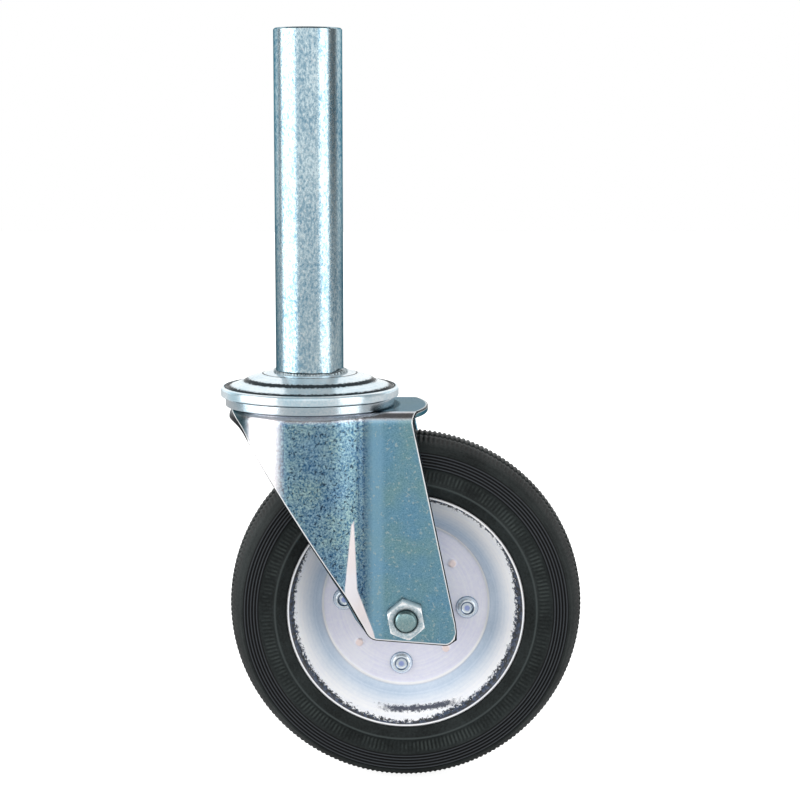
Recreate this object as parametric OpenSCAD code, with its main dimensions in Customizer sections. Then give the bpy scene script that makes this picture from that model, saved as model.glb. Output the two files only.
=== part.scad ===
// Scaffold castor: a tube spigot on a swivel head, a pressed fork and a rubber-tyred wheel.
// The origin is on the swivel axis where the tube meets the head, +Z is up the tube and +X is the way
// the wheel trails. The nut is on the -Y side.

/* [Stem] */
// Outer diameter of the spigot tube
stem_d = 38; // [34:0.5:42]
// Length of the spigot tube above the head
stem_length = 190; // [120:5:250]
// Wall of the spigot tube
stem_wall = 3; // [2:0.25:3.5]
// Chamfer round the tube's top edge
stem_chamfer = 0.8; // [0.4:0.2:1.2]
// Leg length of the weld bead at the tube's foot
weld_leg = 3; // [2:0.5:4]

/* [Swivel head] */
// Outer diameter of the head cap
cap_d = 100; // [92:1:112]
// Sheet thickness of the head cap
cap_sheet = 3; // [2.5:0.25:3.5]
// Distance from the cap's outside in to its pressed step
step_in = 14; // [13:0.5:16]
// Height of that step
step_h = 1.6; // [1:0.2:2]
// How far the cap falls from the tube's foot to its outer groove
cap_fall = 7.4; // [7:0.2:9]
// Height of the cap's turned-down rim
rim_h = 5.4; // [4.5:0.2:6.5]
// Diameter of the balls of the main race
ball_d = 8; // [7:0.25:8.5]
// Distance from the cap's outside in to the main ball track
track_in = 10; // [9:0.5:11]
// Diameter of the balls of the lower race
lower_ball_d = 6; // [5:0.25:6.5]
// Radius of the lower ball track
lower_track_r = 17; // [16.5:0.25:18]
// How far the race ring under the cap's rim lies inside the cap's outside
race_ring_in = 2.5; // [2:0.25:3]
// Thickness of the race ring under the balls
race_ring_t = 2.6; // [2:0.2:3.2]

/* [Kingpin] */
// Diameter of the kingpin's plain shank
king_shank_d = 20; // [18:0.5:22]
// Diameter of the kingpin's threaded end
king_thread_d = 16; // [14:1:16]
// Diameter of the kingpin's flat head
king_head_d = 28; // [26:1:30]
// Height of the kingpin's flat head
king_head_h = 5; // [4:0.5:5.5]
// Size across the flats of the kingpin nut
king_nut_af = 24; // [22:0.5:24]
// Height of the kingpin nut
king_nut_h = 13; // [10:0.5:14]
// How far the kingpin stands out of its nut
king_past_nut = 3; // [1:0.5:4]

/* [Fork] */
// How far the fork's round skirt lies inside the cap's outside
skirt_in = 4.5; // [3.5:0.25:5]
// Sheet thickness of the fork
fork_sheet = 3.5; // [3:0.25:4]
// Width over the outer faces of the two legs
fork_w = 68; // [67:0.5:70]
// Outer radius of the bend between crown and walls
bend_r = 6; // [5:0.5:7]
// Radius of the hollow between the round skirt and each leg
cove_r = 9; // [7:0.5:11]
// Depth of the skirt at the very front, below the crown's top
skirt_front = 6.6; // [6.2:0.2:8]
// Distance in front of the swivel axis where the skirt's edge turns down
front_knee = 39.7; // [38:0.1:41]
// Radius of that turn
front_knee_r = 16; // [10:1:18]
// Distance from the axle forward to the foot of the slope that starts there
shin = 32.7; // [31:0.1:34]
// Height of that foot above the axle
shin_up = 11.4; // [9:0.2:14]
// How far the crown's rear edge bows out beyond its corners
crown_bow = 8.3; // [6:0.1:9]
// Distance from the swivel axis to the crown's rear edge
crown_rear = 66.5; // [64:0.5:68]
// Height the legs reach below the axle
leg_below = 16.9; // [15.5:0.2:17.9]
// Distance from the axle to the leg's rear edge at the bottom
leg_rear = 28.4; // [26:0.2:30]
// Distance from the axle to the leg's front corner at the bottom
leg_front = 20.2; // [19:0.2:22]
// Radius of that front corner
leg_corner_r = 7; // [4:0.5:9]

/* [Axle] */
// Distance from the swivel axis back to the wheel's axle
trail = 54; // [52:0.5:56]
// Height from the tube's foot down to the top of the tyre
tyre_top = 33; // [31:0.5:37]
// Diameter of the axle bolt
axle_d = 12; // [10:1:13]
// Size across the flats of the axle nut and bolt head
axle_af = 19; // [18:0.5:22]
// Height of the axle nut
axle_nut_h = 10.8; // [9:0.2:12]
// Height of the axle bolt's head
axle_head_h = 7.5; // [6:0.5:8]
// How far the axle bolt stands out of its nut
axle_past_nut = 1.5; // [1:0.5:4]
// Outer diameter of the axle sleeve that the rollers run on
sleeve_d = 16; // [15:0.5:17]
// Thickness of the washers between hub and legs
side_washer_t = 1.5; // [1:0.25:2]
// Outer diameter of those washers
side_washer_d = 30; // [26:1:32]

/* [Wheel] */
// Diameter of the wheel over the tyre
wheel_d = 200; // [180:5:220]
// Width of the tyre
tyre_w = 50; // [48:0.5:52]
// Height of the rubber from the rim's lip to the tread
rubber_h = 33; // [31:0.5:35]
// How far the tyre's foot reaches in below the rim's lip
foot_h = 12.5; // [11:0.5:13.5]
// Radius of the tread across the tyre
tread_crown_r = 40; // [36:1:48]
// Distance from the tyre's middle out to the groove round each half of the tread
tread_groove_out = 8; // [6:0.5:12]
// Depth of those grooves
tread_groove_h = 0.9; // [0.6:0.1:1.2]
// Distance from the wheel's middle out to the rim's lip
lip_out = 22.5; // [21:0.5:23]
// Width of the lip's flat edge
lip_flat = 2; // [1.8:0.1:2.6]
// Distance from the rim's lip in to its flat middle disc
disc_in = 20; // [18:0.5:22]
// Sheet thickness of each rim half
rim_sheet = 2.5; // [2:0.25:3]
// Width of the tyre's bead, from the rim's lip to the raised ring
bead_w = 5.5; // [4:0.5:7]
// Number of ribs on each tyre wall
wall_ribs = 5; // [3:1:6]
// Distance from the rim's lip out to the innermost rib
wall_rib_in = 15.7; // [14.5:0.1:17]
// Distance from one rib to the next
wall_rib_pitch = 1.7; // [1.4:0.1:1.8]
// Height of the ribs
wall_rib_h = 0.6; // [0.4:0.1:1]

/* [Rivets and pips] */
// Number of rim rivets
rivet_count = 4; // [3:1:6]
// Place of the rivets' circle between the hub and the disc's edge, as a share
rivet_place = 0.63; // [0.5:0.01:0.7]
// Angle by which the rivets are turned about the axle
rivet_turn = -4; // [-10:1:10]
// Diameter of the rivet heads
rivet_head_d = 13; // [11:0.5:14]
// Height of the rivet heads
rivet_head_h = 3; // [2:0.2:3.6]
// Diameter of the rivet shanks
rivet_shank_d = 7; // [6:0.5:8]
// Diameter of the small raised pips between the rivets
pip_d = 4.6; // [3.6:0.2:6]
// Height of the pips
pip_h = 1; // [0.6:0.2:1.4]

/* [Hub] */
// Outer diameter of the hub tube
hub_d = 30; // [29:0.5:33]
// Diameter of the rollers
roller_d = 3.5; // [3:0.1:3.8]
// Number of rollers
roller_count = 12; // [8:1:12]
// Length of the rollers
roller_length = 44; // [30:1:46]
// Length of the cage past each end of the rollers
cage_end = 2.5; // [1.5:0.5:3]
// Sheet thickness of the dust caps
dust_cap_t = 1.2; // [0.8:0.1:1.5]
// How far the dust caps reach over the hub tube
dust_cap_skirt = 5; // [3:0.5:8]

/* [Clearances] */
// Gap between pieces that move against each other
move_gap = 0.4; // [0.3:0.05:0.6]
// Gap between pieces that only sit together
seat_gap = 0.05; // [0.02:0.01:0.1]
// Gap between the axle bolt and the holes it passes through
bolt_gap = 0.1; // [0.05:0.05:0.3]
// Gap between the kingpin and the crown's hole
king_hole_gap = 2; // [1:0.5:2.5]
// Height of the open joint between the cap's rim and the race ring
rim_gap = 0.6; // [0.4:0.1:1]
// Free play of the hub between the side washers, at each end
hub_play = 0.8; // [0.4:0.1:1]

/* [Hidden] */

// Fineness of round shapes
$fn = 96;
// Fineness of the small balls, rivets and rollers
ball_fn = 32;
// Fineness of the shallow arc at the crown's rear
crown_fn = 192;
// Number of points on a rounded corner
arc_steps = 6;
// A little more than nothing, to run cuts past a face
eps = 0.01;
// How far the blocks that cut the fork run past it
past = 10;

zinc_colour = [0.62, 0.70, 0.74];
bright_zinc_colour = [0.80, 0.85, 0.88];
steel_colour = [0.55, 0.56, 0.58];
rubber_colour = [0.16, 0.18, 0.18];
nylon_colour = [0.86, 0.84, 0.76];

stem_r = stem_d / 2;
cap_r = cap_d / 2;
step_r = cap_r - step_in;
track_r = cap_r - track_in;
ball_r = ball_d / 2;
lower_ball_r = lower_ball_d / 2;
king_r = king_shank_d / 2;
king_thread_r = king_thread_d / 2;
skirt_r = cap_r - skirt_in;
leg_y = fork_w / 2;
leg_in_y = leg_y - fork_sheet;
sleeve_r = sleeve_d / 2;
hub_r = hub_d / 2;
wheel_r = wheel_d / 2;
axle_drop = wheel_r + tyre_top;
lip_r = wheel_r - rubber_h;
disc_r = lip_r - disc_in;

// Chamfer on small turned and pressed edges
edge = 0.6;
// Play between one ball and the next, to each side
ball_play = 0.15;

// Points along an arc about c, from angle a0 to angle a1
function arc(c, r, a0, a1, n = arc_steps) =
    [for (i = [0:n]) let (a = a0 + (a1 - a0) * i / n) [c[0] + r * cos(a), c[1] + r * sin(a)]];

// The corner p between points a and b, rounded with radius r
function rounded(a, p, b, r, n = arc_steps) =
    let (
        u = (a - p) / norm(a - p),
        v = (b - p) / norm(b - p),
        half = acos(u * v) / 2,
        c = p + (u + v) / norm(u + v) * r / sin(half),
        start = p + u * r / tan(half),
        end = p + v * r / tan(half),
        a0 = atan2(start[1] - c[1], start[0] - c[0]),
        a1 = atan2(end[1] - c[1], end[0] - c[0]),
        turn = a1 - a0 > 180 ? a1 - a0 - 360 : a1 - a0 < -180 ? a1 - a0 + 360 : a1 - a0
    )
    arc(c, r, a0, a0 + turn, n);

// Moves its children to the wheel's axle, with local +z towards the near side
module at_axle() {
    translate([trail, 0, -axle_drop]) rotate([90, 0, 0]) children();
}

module both_sides() {
    for (side = [0, 1]) mirror([0, 0, side]) children();
}

module ring_of(count, r, turn = 0) {
    for (i = [0:count - 1]) rotate(turn + i * 360 / count) translate([r, 0, 0]) children();
}

module ball_ring(ball, r) {
    count = floor(360 / (2 * asin((ball + ball_play) / r)));
    ring_of(count, r) sphere(r = ball, $fn = ball_fn);
}

// The groove that a ring of balls rolls in
module ball_groove(ball, r, z, gap) {
    rotate_extrude() translate([r, z]) circle(r = ball + gap, $fn = ball_fn);
}

// A tube of outer radius r and bore radius bore, from z up to z + h
module pipe(r, bore, z, h) {
    difference() {
        translate([0, 0, z]) cylinder(r = r, h = h);
        translate([0, 0, z - eps]) cylinder(r = bore, h = h + 2 * eps);
    }
}

module hex_prism(af, h) {
    cylinder(d = af / cos(30), h = h, $fn = 6);
}

// Stem

// Radius and centre of the weld bead's rounded face, and the angles at which it meets cap and tube
weld_round_r = 0.75 * weld_leg;
weld_round_c = weld_leg - weld_round_r;
weld_start = -asin(weld_round_c / weld_round_r);
weld_end = 105;
// Depth of the bevel at the tube's foot that the weld fills, and how far it reaches above the bead
foot_bevel = stem_wall / 2;
foot_bevel_past = 0.5;
foot_bevel_h = weld_leg + foot_bevel_past;

module stem_tube() {
    color(zinc_colour) difference() {
        union() {
            cylinder(r1 = stem_r - foot_bevel, r2 = stem_r, h = foot_bevel_h);
            translate([0, 0, foot_bevel_h])
                cylinder(r = stem_r, h = stem_length - stem_chamfer - foot_bevel_h);
            translate([0, 0, stem_length - stem_chamfer])
                cylinder(r1 = stem_r, r2 = stem_r - stem_chamfer, h = stem_chamfer);
        }
        translate([0, 0, -eps]) cylinder(r = stem_r - stem_wall, h = stem_length + 2 * eps);
    }
}

// The bead fills the bevel, and its face is an arc that starts on the cap and ends just off the tube
module stem_weld() {
    color(bright_zinc_colour) rotate_extrude() polygon(concat(
        [[stem_r - foot_bevel, 0]],
        arc([stem_r + weld_round_c, weld_round_c], weld_round_r, weld_start, weld_end),
        [[stem_r - foot_bevel * foot_bevel_past / foot_bevel_h, weld_leg]]
    ));
}

// Swivel head: radii and heights of the cap's pressed rings, from the tube outwards

// Flat ring that the tube stands on, and the bend outside it
flat_ring_w = 1;
flat_bend = [3.5, 0.5];
// Share of the cap's fall, less the step, that lies inside the step
dome_share = 0.52;
// The step's rounded top and its run outwards
step_edge = [1.4, 0.2];
step_run = 1.2;
// Width and depth of the groove inside the rim's crest
groove_w = 1.2;
groove_h = 0.8;
// Distance from the groove to the cap's outside, and the crest's radius, height and first angle
groove_in = 3.6;
crest_r = 2;
crest_drop = 0.3;
crest_start = 130;

cap_bore_r = king_thread_r + seat_gap;
cap_flat_r = stem_r + weld_leg + flat_ring_w;
cap_step_top = -(cap_fall - step_h) * dome_share;
cap_groove_r = cap_r - groove_in;
cap_crest_z = -cap_fall - crest_drop;
cap_rim_z = cap_crest_z - rim_h;
cap_dish = [step_r + step_run, cap_step_top - step_h];
cap_dish_end = [cap_groove_r - groove_w, -cap_fall];

// Height of the cap's top surface at a radius between the step and the groove
function cap_top_z(r) =
    cap_dish[1] + (cap_dish_end[1] - cap_dish[1]) * (r - cap_dish[0]) / (cap_dish_end[0] - cap_dish[0]);

// How deep the main balls sit in the cap and in the race ring
cap_bite = 0.2;
ring_bite = 0.6;
// Wall and edge of the lower cup, the depth of its track below the balls' middle, and its open joint
cup_wall = 2;
cup_edge = 1;
cup_track_drop = 1.6;
cup_joint = 0.6;

ball_z = cap_top_z(track_r) - cap_sheet - ball_r + cap_bite;
crown_z = ball_z - ball_r - race_ring_t + ring_bite;
crown_low_z = crown_z - fork_sheet;
lower_ball_z = crown_low_z - lower_ball_r - seat_gap;
cup_low_z = lower_ball_z - lower_ball_r - move_gap - cup_wall;
cup_in_r = lower_track_r + lower_ball_r + move_gap;

cap_inner_top = [
    [cap_bore_r, 0],
    [cap_flat_r, 0],
    [cap_flat_r + flat_bend[0], -flat_bend[1]],
    [step_r - step_edge[0], cap_step_top],
    [step_r, cap_step_top - step_edge[1]],
    cap_dish,
    cap_dish_end,
    [cap_groove_r, -cap_fall - groove_h]
];
cap_rim_outline = concat(
    arc([cap_r - crest_r, cap_crest_z - crest_r], crest_r, crest_start, 0),
    [
        [cap_r, cap_rim_z + edge],
        [cap_r - edge, cap_rim_z],
        [cap_r - cap_sheet + edge, cap_rim_z],
        [cap_r - cap_sheet, cap_rim_z + edge],
        [cap_r - cap_sheet, -cap_fall - cap_sheet - groove_h]
    ]
);
cap_inner_low = [for (i = [len(cap_inner_top) - 3:-1:1]) cap_inner_top[i] - [0, cap_sheet]];

module head_cap() {
    color(bright_zinc_colour) difference() {
        rotate_extrude() polygon(concat(
            cap_inner_top,
            cap_rim_outline,
            [cap_dish_end - [0, cap_sheet]],
            cap_inner_low,
            [[cap_bore_r, -cap_sheet]]
        ));
        ball_groove(ball_r, track_r, ball_z, move_gap);
    }
}

module kingpin() {
    king_top = king_nut_h + king_past_nut;
    color(steel_colour) union() {
        translate([0, 0, cup_low_z - king_head_h]) cylinder(r = king_head_d / 2, h = king_head_h);
        translate([0, 0, cup_low_z - eps]) cylinder(r = king_r, h = -cap_sheet - cup_low_z + eps);
        translate([0, 0, -cap_sheet - eps]) cylinder(r = king_thread_r, h = cap_sheet + king_top + eps);
    }
}

module kingpin_nut() {
    color(steel_colour) difference() {
        hex_prism(king_nut_af, king_nut_h);
        translate([0, 0, -eps]) cylinder(r = king_thread_r + seat_gap, h = king_nut_h + 2 * eps);
    }
}

module lower_cup() {
    top_z = crown_low_z - move_gap - cup_joint;
    floor_z = lower_ball_z - cup_track_drop;
    out_r = cup_in_r + cup_wall;
    color(steel_colour) difference() {
        rotate_extrude() polygon([
            [king_r + seat_gap, cup_low_z],
            [out_r - cup_edge, cup_low_z],
            [out_r, cup_low_z + cup_edge],
            [out_r, top_z],
            [cup_in_r, top_z],
            [cup_in_r, floor_z],
            [king_r + seat_gap, floor_z]
        ]);
        ball_groove(lower_ball_r, lower_track_r, lower_ball_z, move_gap);
    }
}

// The ring lies on the crown under the balls, and its upturned lip closes the head below the cap's rim
module race_ring() {
    ring_r = cap_r - race_ring_in;
    inner_land = 1.5;
    ring_in_r = track_r - ball_r - inner_land;
    lip_t = 1.8;
    lip_edge = 0.4;
    lip_z = cap_rim_z - rim_gap;
    color(bright_zinc_colour) difference() {
        rotate_extrude() polygon([
            [ring_in_r, crown_z],
            [ring_r, crown_z],
            [ring_r, lip_z - lip_edge],
            [ring_r - lip_edge, lip_z],
            [ring_r - lip_t, lip_z],
            [ring_r - lip_t, crown_z + race_ring_t],
            [ring_in_r, crown_z + race_ring_t]
        ]);
        ball_groove(ball_r, track_r, ball_z, seat_gap);
    }
}

module main_balls() {
    color(steel_colour) translate([0, 0, ball_z]) ball_ring(ball_r, track_r);
}

module lower_balls() {
    color(steel_colour) translate([0, 0, lower_ball_z]) ball_ring(lower_ball_r, lower_track_r);
}

// Fork

// How far the cove between skirt and leg bites into their faces, so that the faces cross
cove_bite = 0.05;
// Where the legs' rear edge starts, behind the crown's corners
leg_top_in = 0.6;
// The cut corner at the bottom of each leg's rear edge, and the upright stretch above it
leg_cut = [5, 3.4];
leg_upright = 9.9;
// How much the leg's lower edge rises to its front corner
leg_heel_rise = 3.4;

crown_bow_r = (leg_y * leg_y + crown_bow * crown_bow) / (2 * crown_bow);
bend_low_z = crown_z - bend_r;
leg_low_z = -axle_drop - leg_below;
front_z = crown_z - skirt_front;

// Section of the space in the cove at radius r_in, with the bend's quarter round at its top
module cove_cutter(r_in) {
    r = r_in + cove_bite;
    top_r = bend_r - (r_in - cove_r);
    difference() {
        translate([0, leg_low_z - past]) square([r + top_r, crown_z - leg_low_z + 2 * past]);
        translate([r, leg_low_z - 2 * past]) square([top_r + past, bend_low_z - leg_low_z + 2 * past]);
        translate([r + top_r, bend_low_z]) circle(r = top_r);
    }
}

// The fork as a solid block whose faces lie the depth t inside its outer faces, open at the back
module fork_block(t) {
    r = skirt_r - t;
    w = leg_y - t;
    top = crown_z - t;
    round_r = bend_r - t;
    low = leg_low_z - past / 2;
    back = trail + leg_rear + past;
    cove_y = leg_y + cove_r;
    cove_x = sqrt(pow(skirt_r + cove_r, 2) - cove_y * cove_y);
    rotate_extrude() union() {
        translate([0, low]) square([r, bend_low_z - low]);
        translate([0, low]) square([r - round_r, top - low]);
        translate([r - round_r, bend_low_z]) circle(r = round_r);
    }
    rotate([90, 0, 90]) linear_extrude(back) union() {
        translate([-w, low]) square([2 * w, bend_low_z - low]);
        translate([-w + round_r, low]) square([2 * (w - round_r), top - low]);
        for (side = [-1, 1]) translate([side * (w - round_r), bend_low_z]) circle(r = round_r);
    }
    for (side = [-1, 1]) difference() {
        translate([0, 0, low]) linear_extrude(top - low)
            polygon([[0, 0], [cove_x, side * cove_y], [cove_x, 0]]);
        translate([cove_x, side * cove_y, 0]) rotate_extrude() cove_cutter(cove_r + t);
    }
}

// Outline of the fork seen from the side, as x and z. The crown's own outline cuts what is above the bend
module side_outline() {
    outside = [-skirt_r - past, front_z];
    slope_top = [-front_knee, front_z];
    slope_foot = [trail - shin, -axle_drop + shin_up];
    front_corner = [trail - leg_front, leg_low_z + leg_heel_rise];
    rear_x = trail + leg_rear;
    crown_corner_x = crown_rear - crown_bow + leg_top_in;
    polygon(concat(
        [[outside[0], crown_z + past], outside],
        rounded(outside, slope_top, slope_foot, front_knee_r),
        [slope_foot],
        rounded(slope_foot, front_corner, [rear_x, leg_low_z], leg_corner_r),
        [
            [rear_x - leg_cut[0], leg_low_z],
            [rear_x, leg_low_z + leg_cut[1]],
            [rear_x, leg_low_z + leg_upright],
            [crown_corner_x, bend_low_z],
            [crown_rear + past, crown_low_z],
            [crown_rear + past, crown_z + past]
        ]
    ));
}

module crown_outline() {
    translate([crown_rear - crown_bow_r, 0]) circle(r = crown_bow_r, $fn = crown_fn);
}

module fork_shell() {
    reach = trail + leg_rear + past;
    color(zinc_colour) difference() {
        intersection() {
            difference() {
                fork_block(0);
                fork_block(fork_sheet);
            }
            translate([0, fork_w, 0]) rotate([90, 0, 0]) linear_extrude(2 * fork_w) side_outline();
            union() {
                translate([0, 0, bend_low_z]) linear_extrude(bend_r + eps) crown_outline();
                translate([-reach, -fork_w, leg_low_z - past])
                    cube([2 * reach, 2 * fork_w, bend_low_z - leg_low_z + past]);
            }
        }
        translate([0, 0, crown_low_z - eps]) cylinder(r = king_r + king_hole_gap, h = fork_sheet + 2 * eps);
        at_axle() translate([0, 0, -fork_w]) cylinder(r = axle_d / 2 + bolt_gap, h = 2 * fork_w);
    }
}

// Axle

// Chamfers on the bolt's end and round the nut's outer face
bolt_chamfer = 1;
nut_chamfer_h = 1.3;
nut_chamfer_out = 1.7;
nut_chamfer_in = 0.4;

module axle_bolt() {
    end_z = leg_y + axle_nut_h + axle_past_nut;
    color(steel_colour) at_axle() union() {
        translate([0, 0, -leg_y - axle_head_h]) hex_prism(axle_af, axle_head_h);
        translate([0, 0, -leg_y - eps]) cylinder(r = axle_d / 2, h = leg_y + end_z - bolt_chamfer + eps);
        translate([0, 0, end_z - bolt_chamfer])
            cylinder(r1 = axle_d / 2, r2 = axle_d / 2 - bolt_chamfer, h = bolt_chamfer);
    }
}

module axle_nut() {
    flat_h = axle_nut_h - nut_chamfer_h;
    color(bright_zinc_colour) at_axle() translate([0, 0, leg_y]) difference() {
        intersection() {
            rotate(30) hex_prism(axle_af, axle_nut_h);
            union() {
                cylinder(r = axle_af, h = flat_h);
                translate([0, 0, flat_h]) cylinder(
                    r1 = axle_af / 2 + nut_chamfer_out,
                    r2 = axle_af / 2 - nut_chamfer_in,
                    h = nut_chamfer_h
                );
            }
        }
        translate([0, 0, -eps]) cylinder(r = axle_d / 2 + seat_gap, h = axle_nut_h + 2 * eps);
    }
}

module axle_sleeve() {
    color(steel_colour) at_axle() pipe(sleeve_r, axle_d / 2 + bolt_gap, -leg_in_y, 2 * leg_in_y);
}

module side_washers() {
    color(steel_colour) at_axle() both_sides()
        pipe(side_washer_d / 2, sleeve_r + seat_gap, leg_in_y - side_washer_t, side_washer_t);
}

// Wheel

// Radii of the bends at the rim's disc and at its lip, on their hollow sides
disc_bend_r = 3;
lip_bend_r = 1;
lip_chamfer = 0.3;

rim_hole_r = hub_r + seat_gap;
rivet_circle_r = hub_r + rivet_place * (disc_r - hub_r);
rim_slope = atan2(lip_out - rim_sheet, lip_r - lip_flat - disc_r);
// How far the sheet's back corners lie outside its face corners
back_shift = rim_sheet * tan(rim_slope / 2);
disc_corner = [disc_r, rim_sheet];
lip_corner = [lip_r - lip_flat, lip_out];
disc_back = [disc_r + back_shift, 0];
lip_back = [lip_r - lip_flat + back_shift, lip_out - rim_sheet];

// Outer face of a rim half, as radius and distance out from the wheel's middle
rim_face = concat(
    [[rim_hole_r, rim_sheet]],
    rounded([rim_hole_r, rim_sheet], disc_corner, lip_corner, disc_bend_r),
    rounded(disc_corner, lip_corner, [lip_r, lip_out], lip_bend_r + rim_sheet),
    [[lip_r - lip_chamfer, lip_out], [lip_r, lip_out - lip_chamfer]]
);
// The back of its lip, and of its disc
rim_back_lip = rounded([lip_r, lip_out - rim_sheet], lip_back, disc_back, lip_bend_r);
rim_back_disc = rounded(lip_back, disc_back, [rim_hole_r, 0], disc_bend_r + rim_sheet);

module rim_half() {
    pip_slope = 0.7;
    difference() {
        union() {
            rotate_extrude() polygon(concat(
                rim_face,
                [[lip_r, lip_out - rim_sheet]],
                rim_back_lip,
                rim_back_disc,
                [[rim_hole_r, 0]]
            ));
            ring_of(rivet_count, rivet_circle_r, rivet_turn + 180 / rivet_count)
                translate([0, 0, rim_sheet - eps])
                    cylinder(r1 = pip_d / 2, r2 = pip_d / 2 - pip_slope, h = pip_h, $fn = ball_fn);
        }
        ring_of(rivet_count, rivet_circle_r, rivet_turn)
            translate([0, 0, -eps]) cylinder(r = rivet_shank_d / 2 + seat_gap, h = rim_sheet + 2 * eps);
    }
}

module rim_near() {
    color(bright_zinc_colour) at_axle() rim_half();
}

module rim_far() {
    color(bright_zinc_colour) at_axle() mirror([0, 0, 1]) rim_half();
}

// Each rivet has a shank through both discs and a domed head, part of a sphere, at each end
module rim_rivets() {
    dome_r = (pow(rivet_head_d / 2, 2) + rivet_head_h * rivet_head_h) / (2 * rivet_head_h);
    color(zinc_colour) at_axle() ring_of(rivet_count, rivet_circle_r, rivet_turn) union() {
        translate([0, 0, -rim_sheet]) cylinder(r = rivet_shank_d / 2, h = 2 * rim_sheet, $fn = ball_fn);
        both_sides() translate([0, 0, rim_sheet]) intersection() {
            cylinder(r = rivet_head_d, h = rivet_head_h, $fn = ball_fn);
            translate([0, 0, rivet_head_h - dome_r]) sphere(r = dome_r);
        }
    }
}

// Tyre: how far the tread's edge lies inside the tyre's width, and how far the shoulder bulges
shoulder_in = 4.2;
shoulder_bulge = [0.6, 0.9];
tread_steps = 6;
// Half the width of the grooves round the tread, at their mouth and at their floor
groove_mouth = 1.2;
groove_floor = 0.5;
// Depth of the band inside the ribs, and width and height of the raised ring round the bead
band_sink = 0.5;
bead_ring = [0.6, 0.6];
bead_ring_slope = 1;
bead_sink = 0.2;
// Where the bead's face turns down to the rim's lip
bead_edge = [2.4, 0.5];
bead_lap = 0.6;

bead_ring_r = lip_r + bead_w;
wall_rib_r = lip_r + wall_rib_in;
tyre_half_w = tyre_w / 2;
wall_out = tyre_half_w - wall_rib_h;
shoulder_out = tyre_half_w - shoulder_in;
groove_start = tread_groove_out - groove_mouth;
groove_end = tread_groove_out + groove_mouth;
wall_top_r = wall_rib_r + wall_ribs * wall_rib_pitch;
foot_r = lip_r - foot_h;
foot_out = (foot_r - disc_back[0]) * tan(rim_slope);

// The tread's radius at a distance out from the middle, less the depth that the point is sunk, as a point
function tread_point(out, sink = 0) =
    [wheel_r - sink - tread_crown_r + sqrt(tread_crown_r * tread_crown_r - out * out), out];

// Half section of the tyre, from the tread down one wall to the bead, then in along the rim's back
tyre_side = concat(
    [for (i = [1:tread_steps]) tread_point(groove_start * i / tread_steps)],
    [
        tread_point(tread_groove_out - groove_floor, tread_groove_h),
        tread_point(tread_groove_out + groove_floor, tread_groove_h)
    ],
    [for (i = [0:tread_steps]) tread_point(groove_end + (shoulder_out - groove_end) * i / tread_steps)],
    [(tread_point(shoulder_out) + [wall_top_r, wall_out]) / 2 + shoulder_bulge],
    [for (i = [wall_ribs - 1:-1:0]) let (r = wall_rib_r + i * wall_rib_pitch) each [
        [r + wall_rib_pitch * 0.75, wall_out],
        [r + wall_rib_pitch * 0.5, wall_out + wall_rib_h],
        [r + wall_rib_pitch * 0.25, wall_out]
    ]],
    [
        [wall_rib_r - edge, wall_out],
        [bead_ring_r + bead_ring[0] + bead_ring_slope, wall_out - band_sink],
        [bead_ring_r + bead_ring[0], wall_out - band_sink + bead_ring[1]],
        [bead_ring_r, wall_out - bead_sink],
        [lip_r + bead_edge[0], lip_out + bead_edge[1]],
        [lip_r + seat_gap, lip_out - bead_lap],
        [lip_r + seat_gap, lip_out - rim_sheet - seat_gap]
    ],
    [for (p = concat(rim_back_lip, [[foot_r, foot_out]])) p + [seat_gap, -seat_gap]]
);

module tyre() {
    n = len(tyre_side);
    color(rubber_colour) at_axle() rotate_extrude() polygon(concat(
        [[wheel_r, 0]],
        tyre_side,
        [for (i = [n - 1:-1:0]) [tyre_side[i][0], -tyre_side[i][1]]]
    ));
}

// Hub

// Gaps from the cage to the hub's bore, to the sleeve and round each roller
cage_out_gap = 0.5;
cage_in_gap = 0.7;
pocket_gap = 0.2;

hub_end = leg_in_y - side_washer_t - dust_cap_t - hub_play;
hub_bore_r = sleeve_r + move_gap + roller_d + seat_gap;
roller_pitch_r = hub_bore_r - seat_gap - roller_d / 2;

module hub_tube() {
    color(steel_colour) at_axle() pipe(hub_r, hub_bore_r, -hub_end, 2 * hub_end);
}

// A ring of sheet over the hub's end, with its skirt pressed over the hub
module dust_caps() {
    cap_in_r = hub_r + seat_gap;
    cap_out_r = cap_in_r + dust_cap_t;
    cap_end = hub_end + dust_cap_t;
    color(bright_zinc_colour) at_axle() both_sides() rotate_extrude() polygon([
        [sleeve_r + move_gap, hub_end],
        [sleeve_r + move_gap, cap_end],
        [cap_out_r - edge, cap_end],
        [cap_out_r, cap_end - edge],
        [cap_out_r, hub_end - dust_cap_skirt],
        [cap_in_r, hub_end - dust_cap_skirt],
        [cap_in_r, hub_end]
    ]);
}

module roller_cage() {
    cage_length = roller_length + 2 * cage_end;
    pocket_length = roller_length + 2 * pocket_gap;
    color(nylon_colour) at_axle() difference() {
        pipe(hub_bore_r - cage_out_gap, sleeve_r + cage_in_gap, -cage_length / 2, cage_length);
        ring_of(roller_count, roller_pitch_r)
            translate([-roller_d, -roller_d / 2 - pocket_gap, -pocket_length / 2])
                cube([2 * roller_d, roller_d + 2 * pocket_gap, pocket_length]);
    }
}

module rollers() {
    color(steel_colour) at_axle() ring_of(roller_count, roller_pitch_r)
        translate([0, 0, -roller_length / 2])
            cylinder(r = roller_d / 2, h = roller_length, $fn = ball_fn);
}

stem_tube();
stem_weld();
head_cap();
kingpin();
kingpin_nut();
lower_cup();
race_ring();
main_balls();
lower_balls();
fork_shell();
axle_bolt();
axle_nut();
axle_sleeve();
side_washers();
tyre();
rim_near();
rim_far();
rim_rivets();
hub_tube();
dust_caps();
roller_cage();
rollers();
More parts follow.
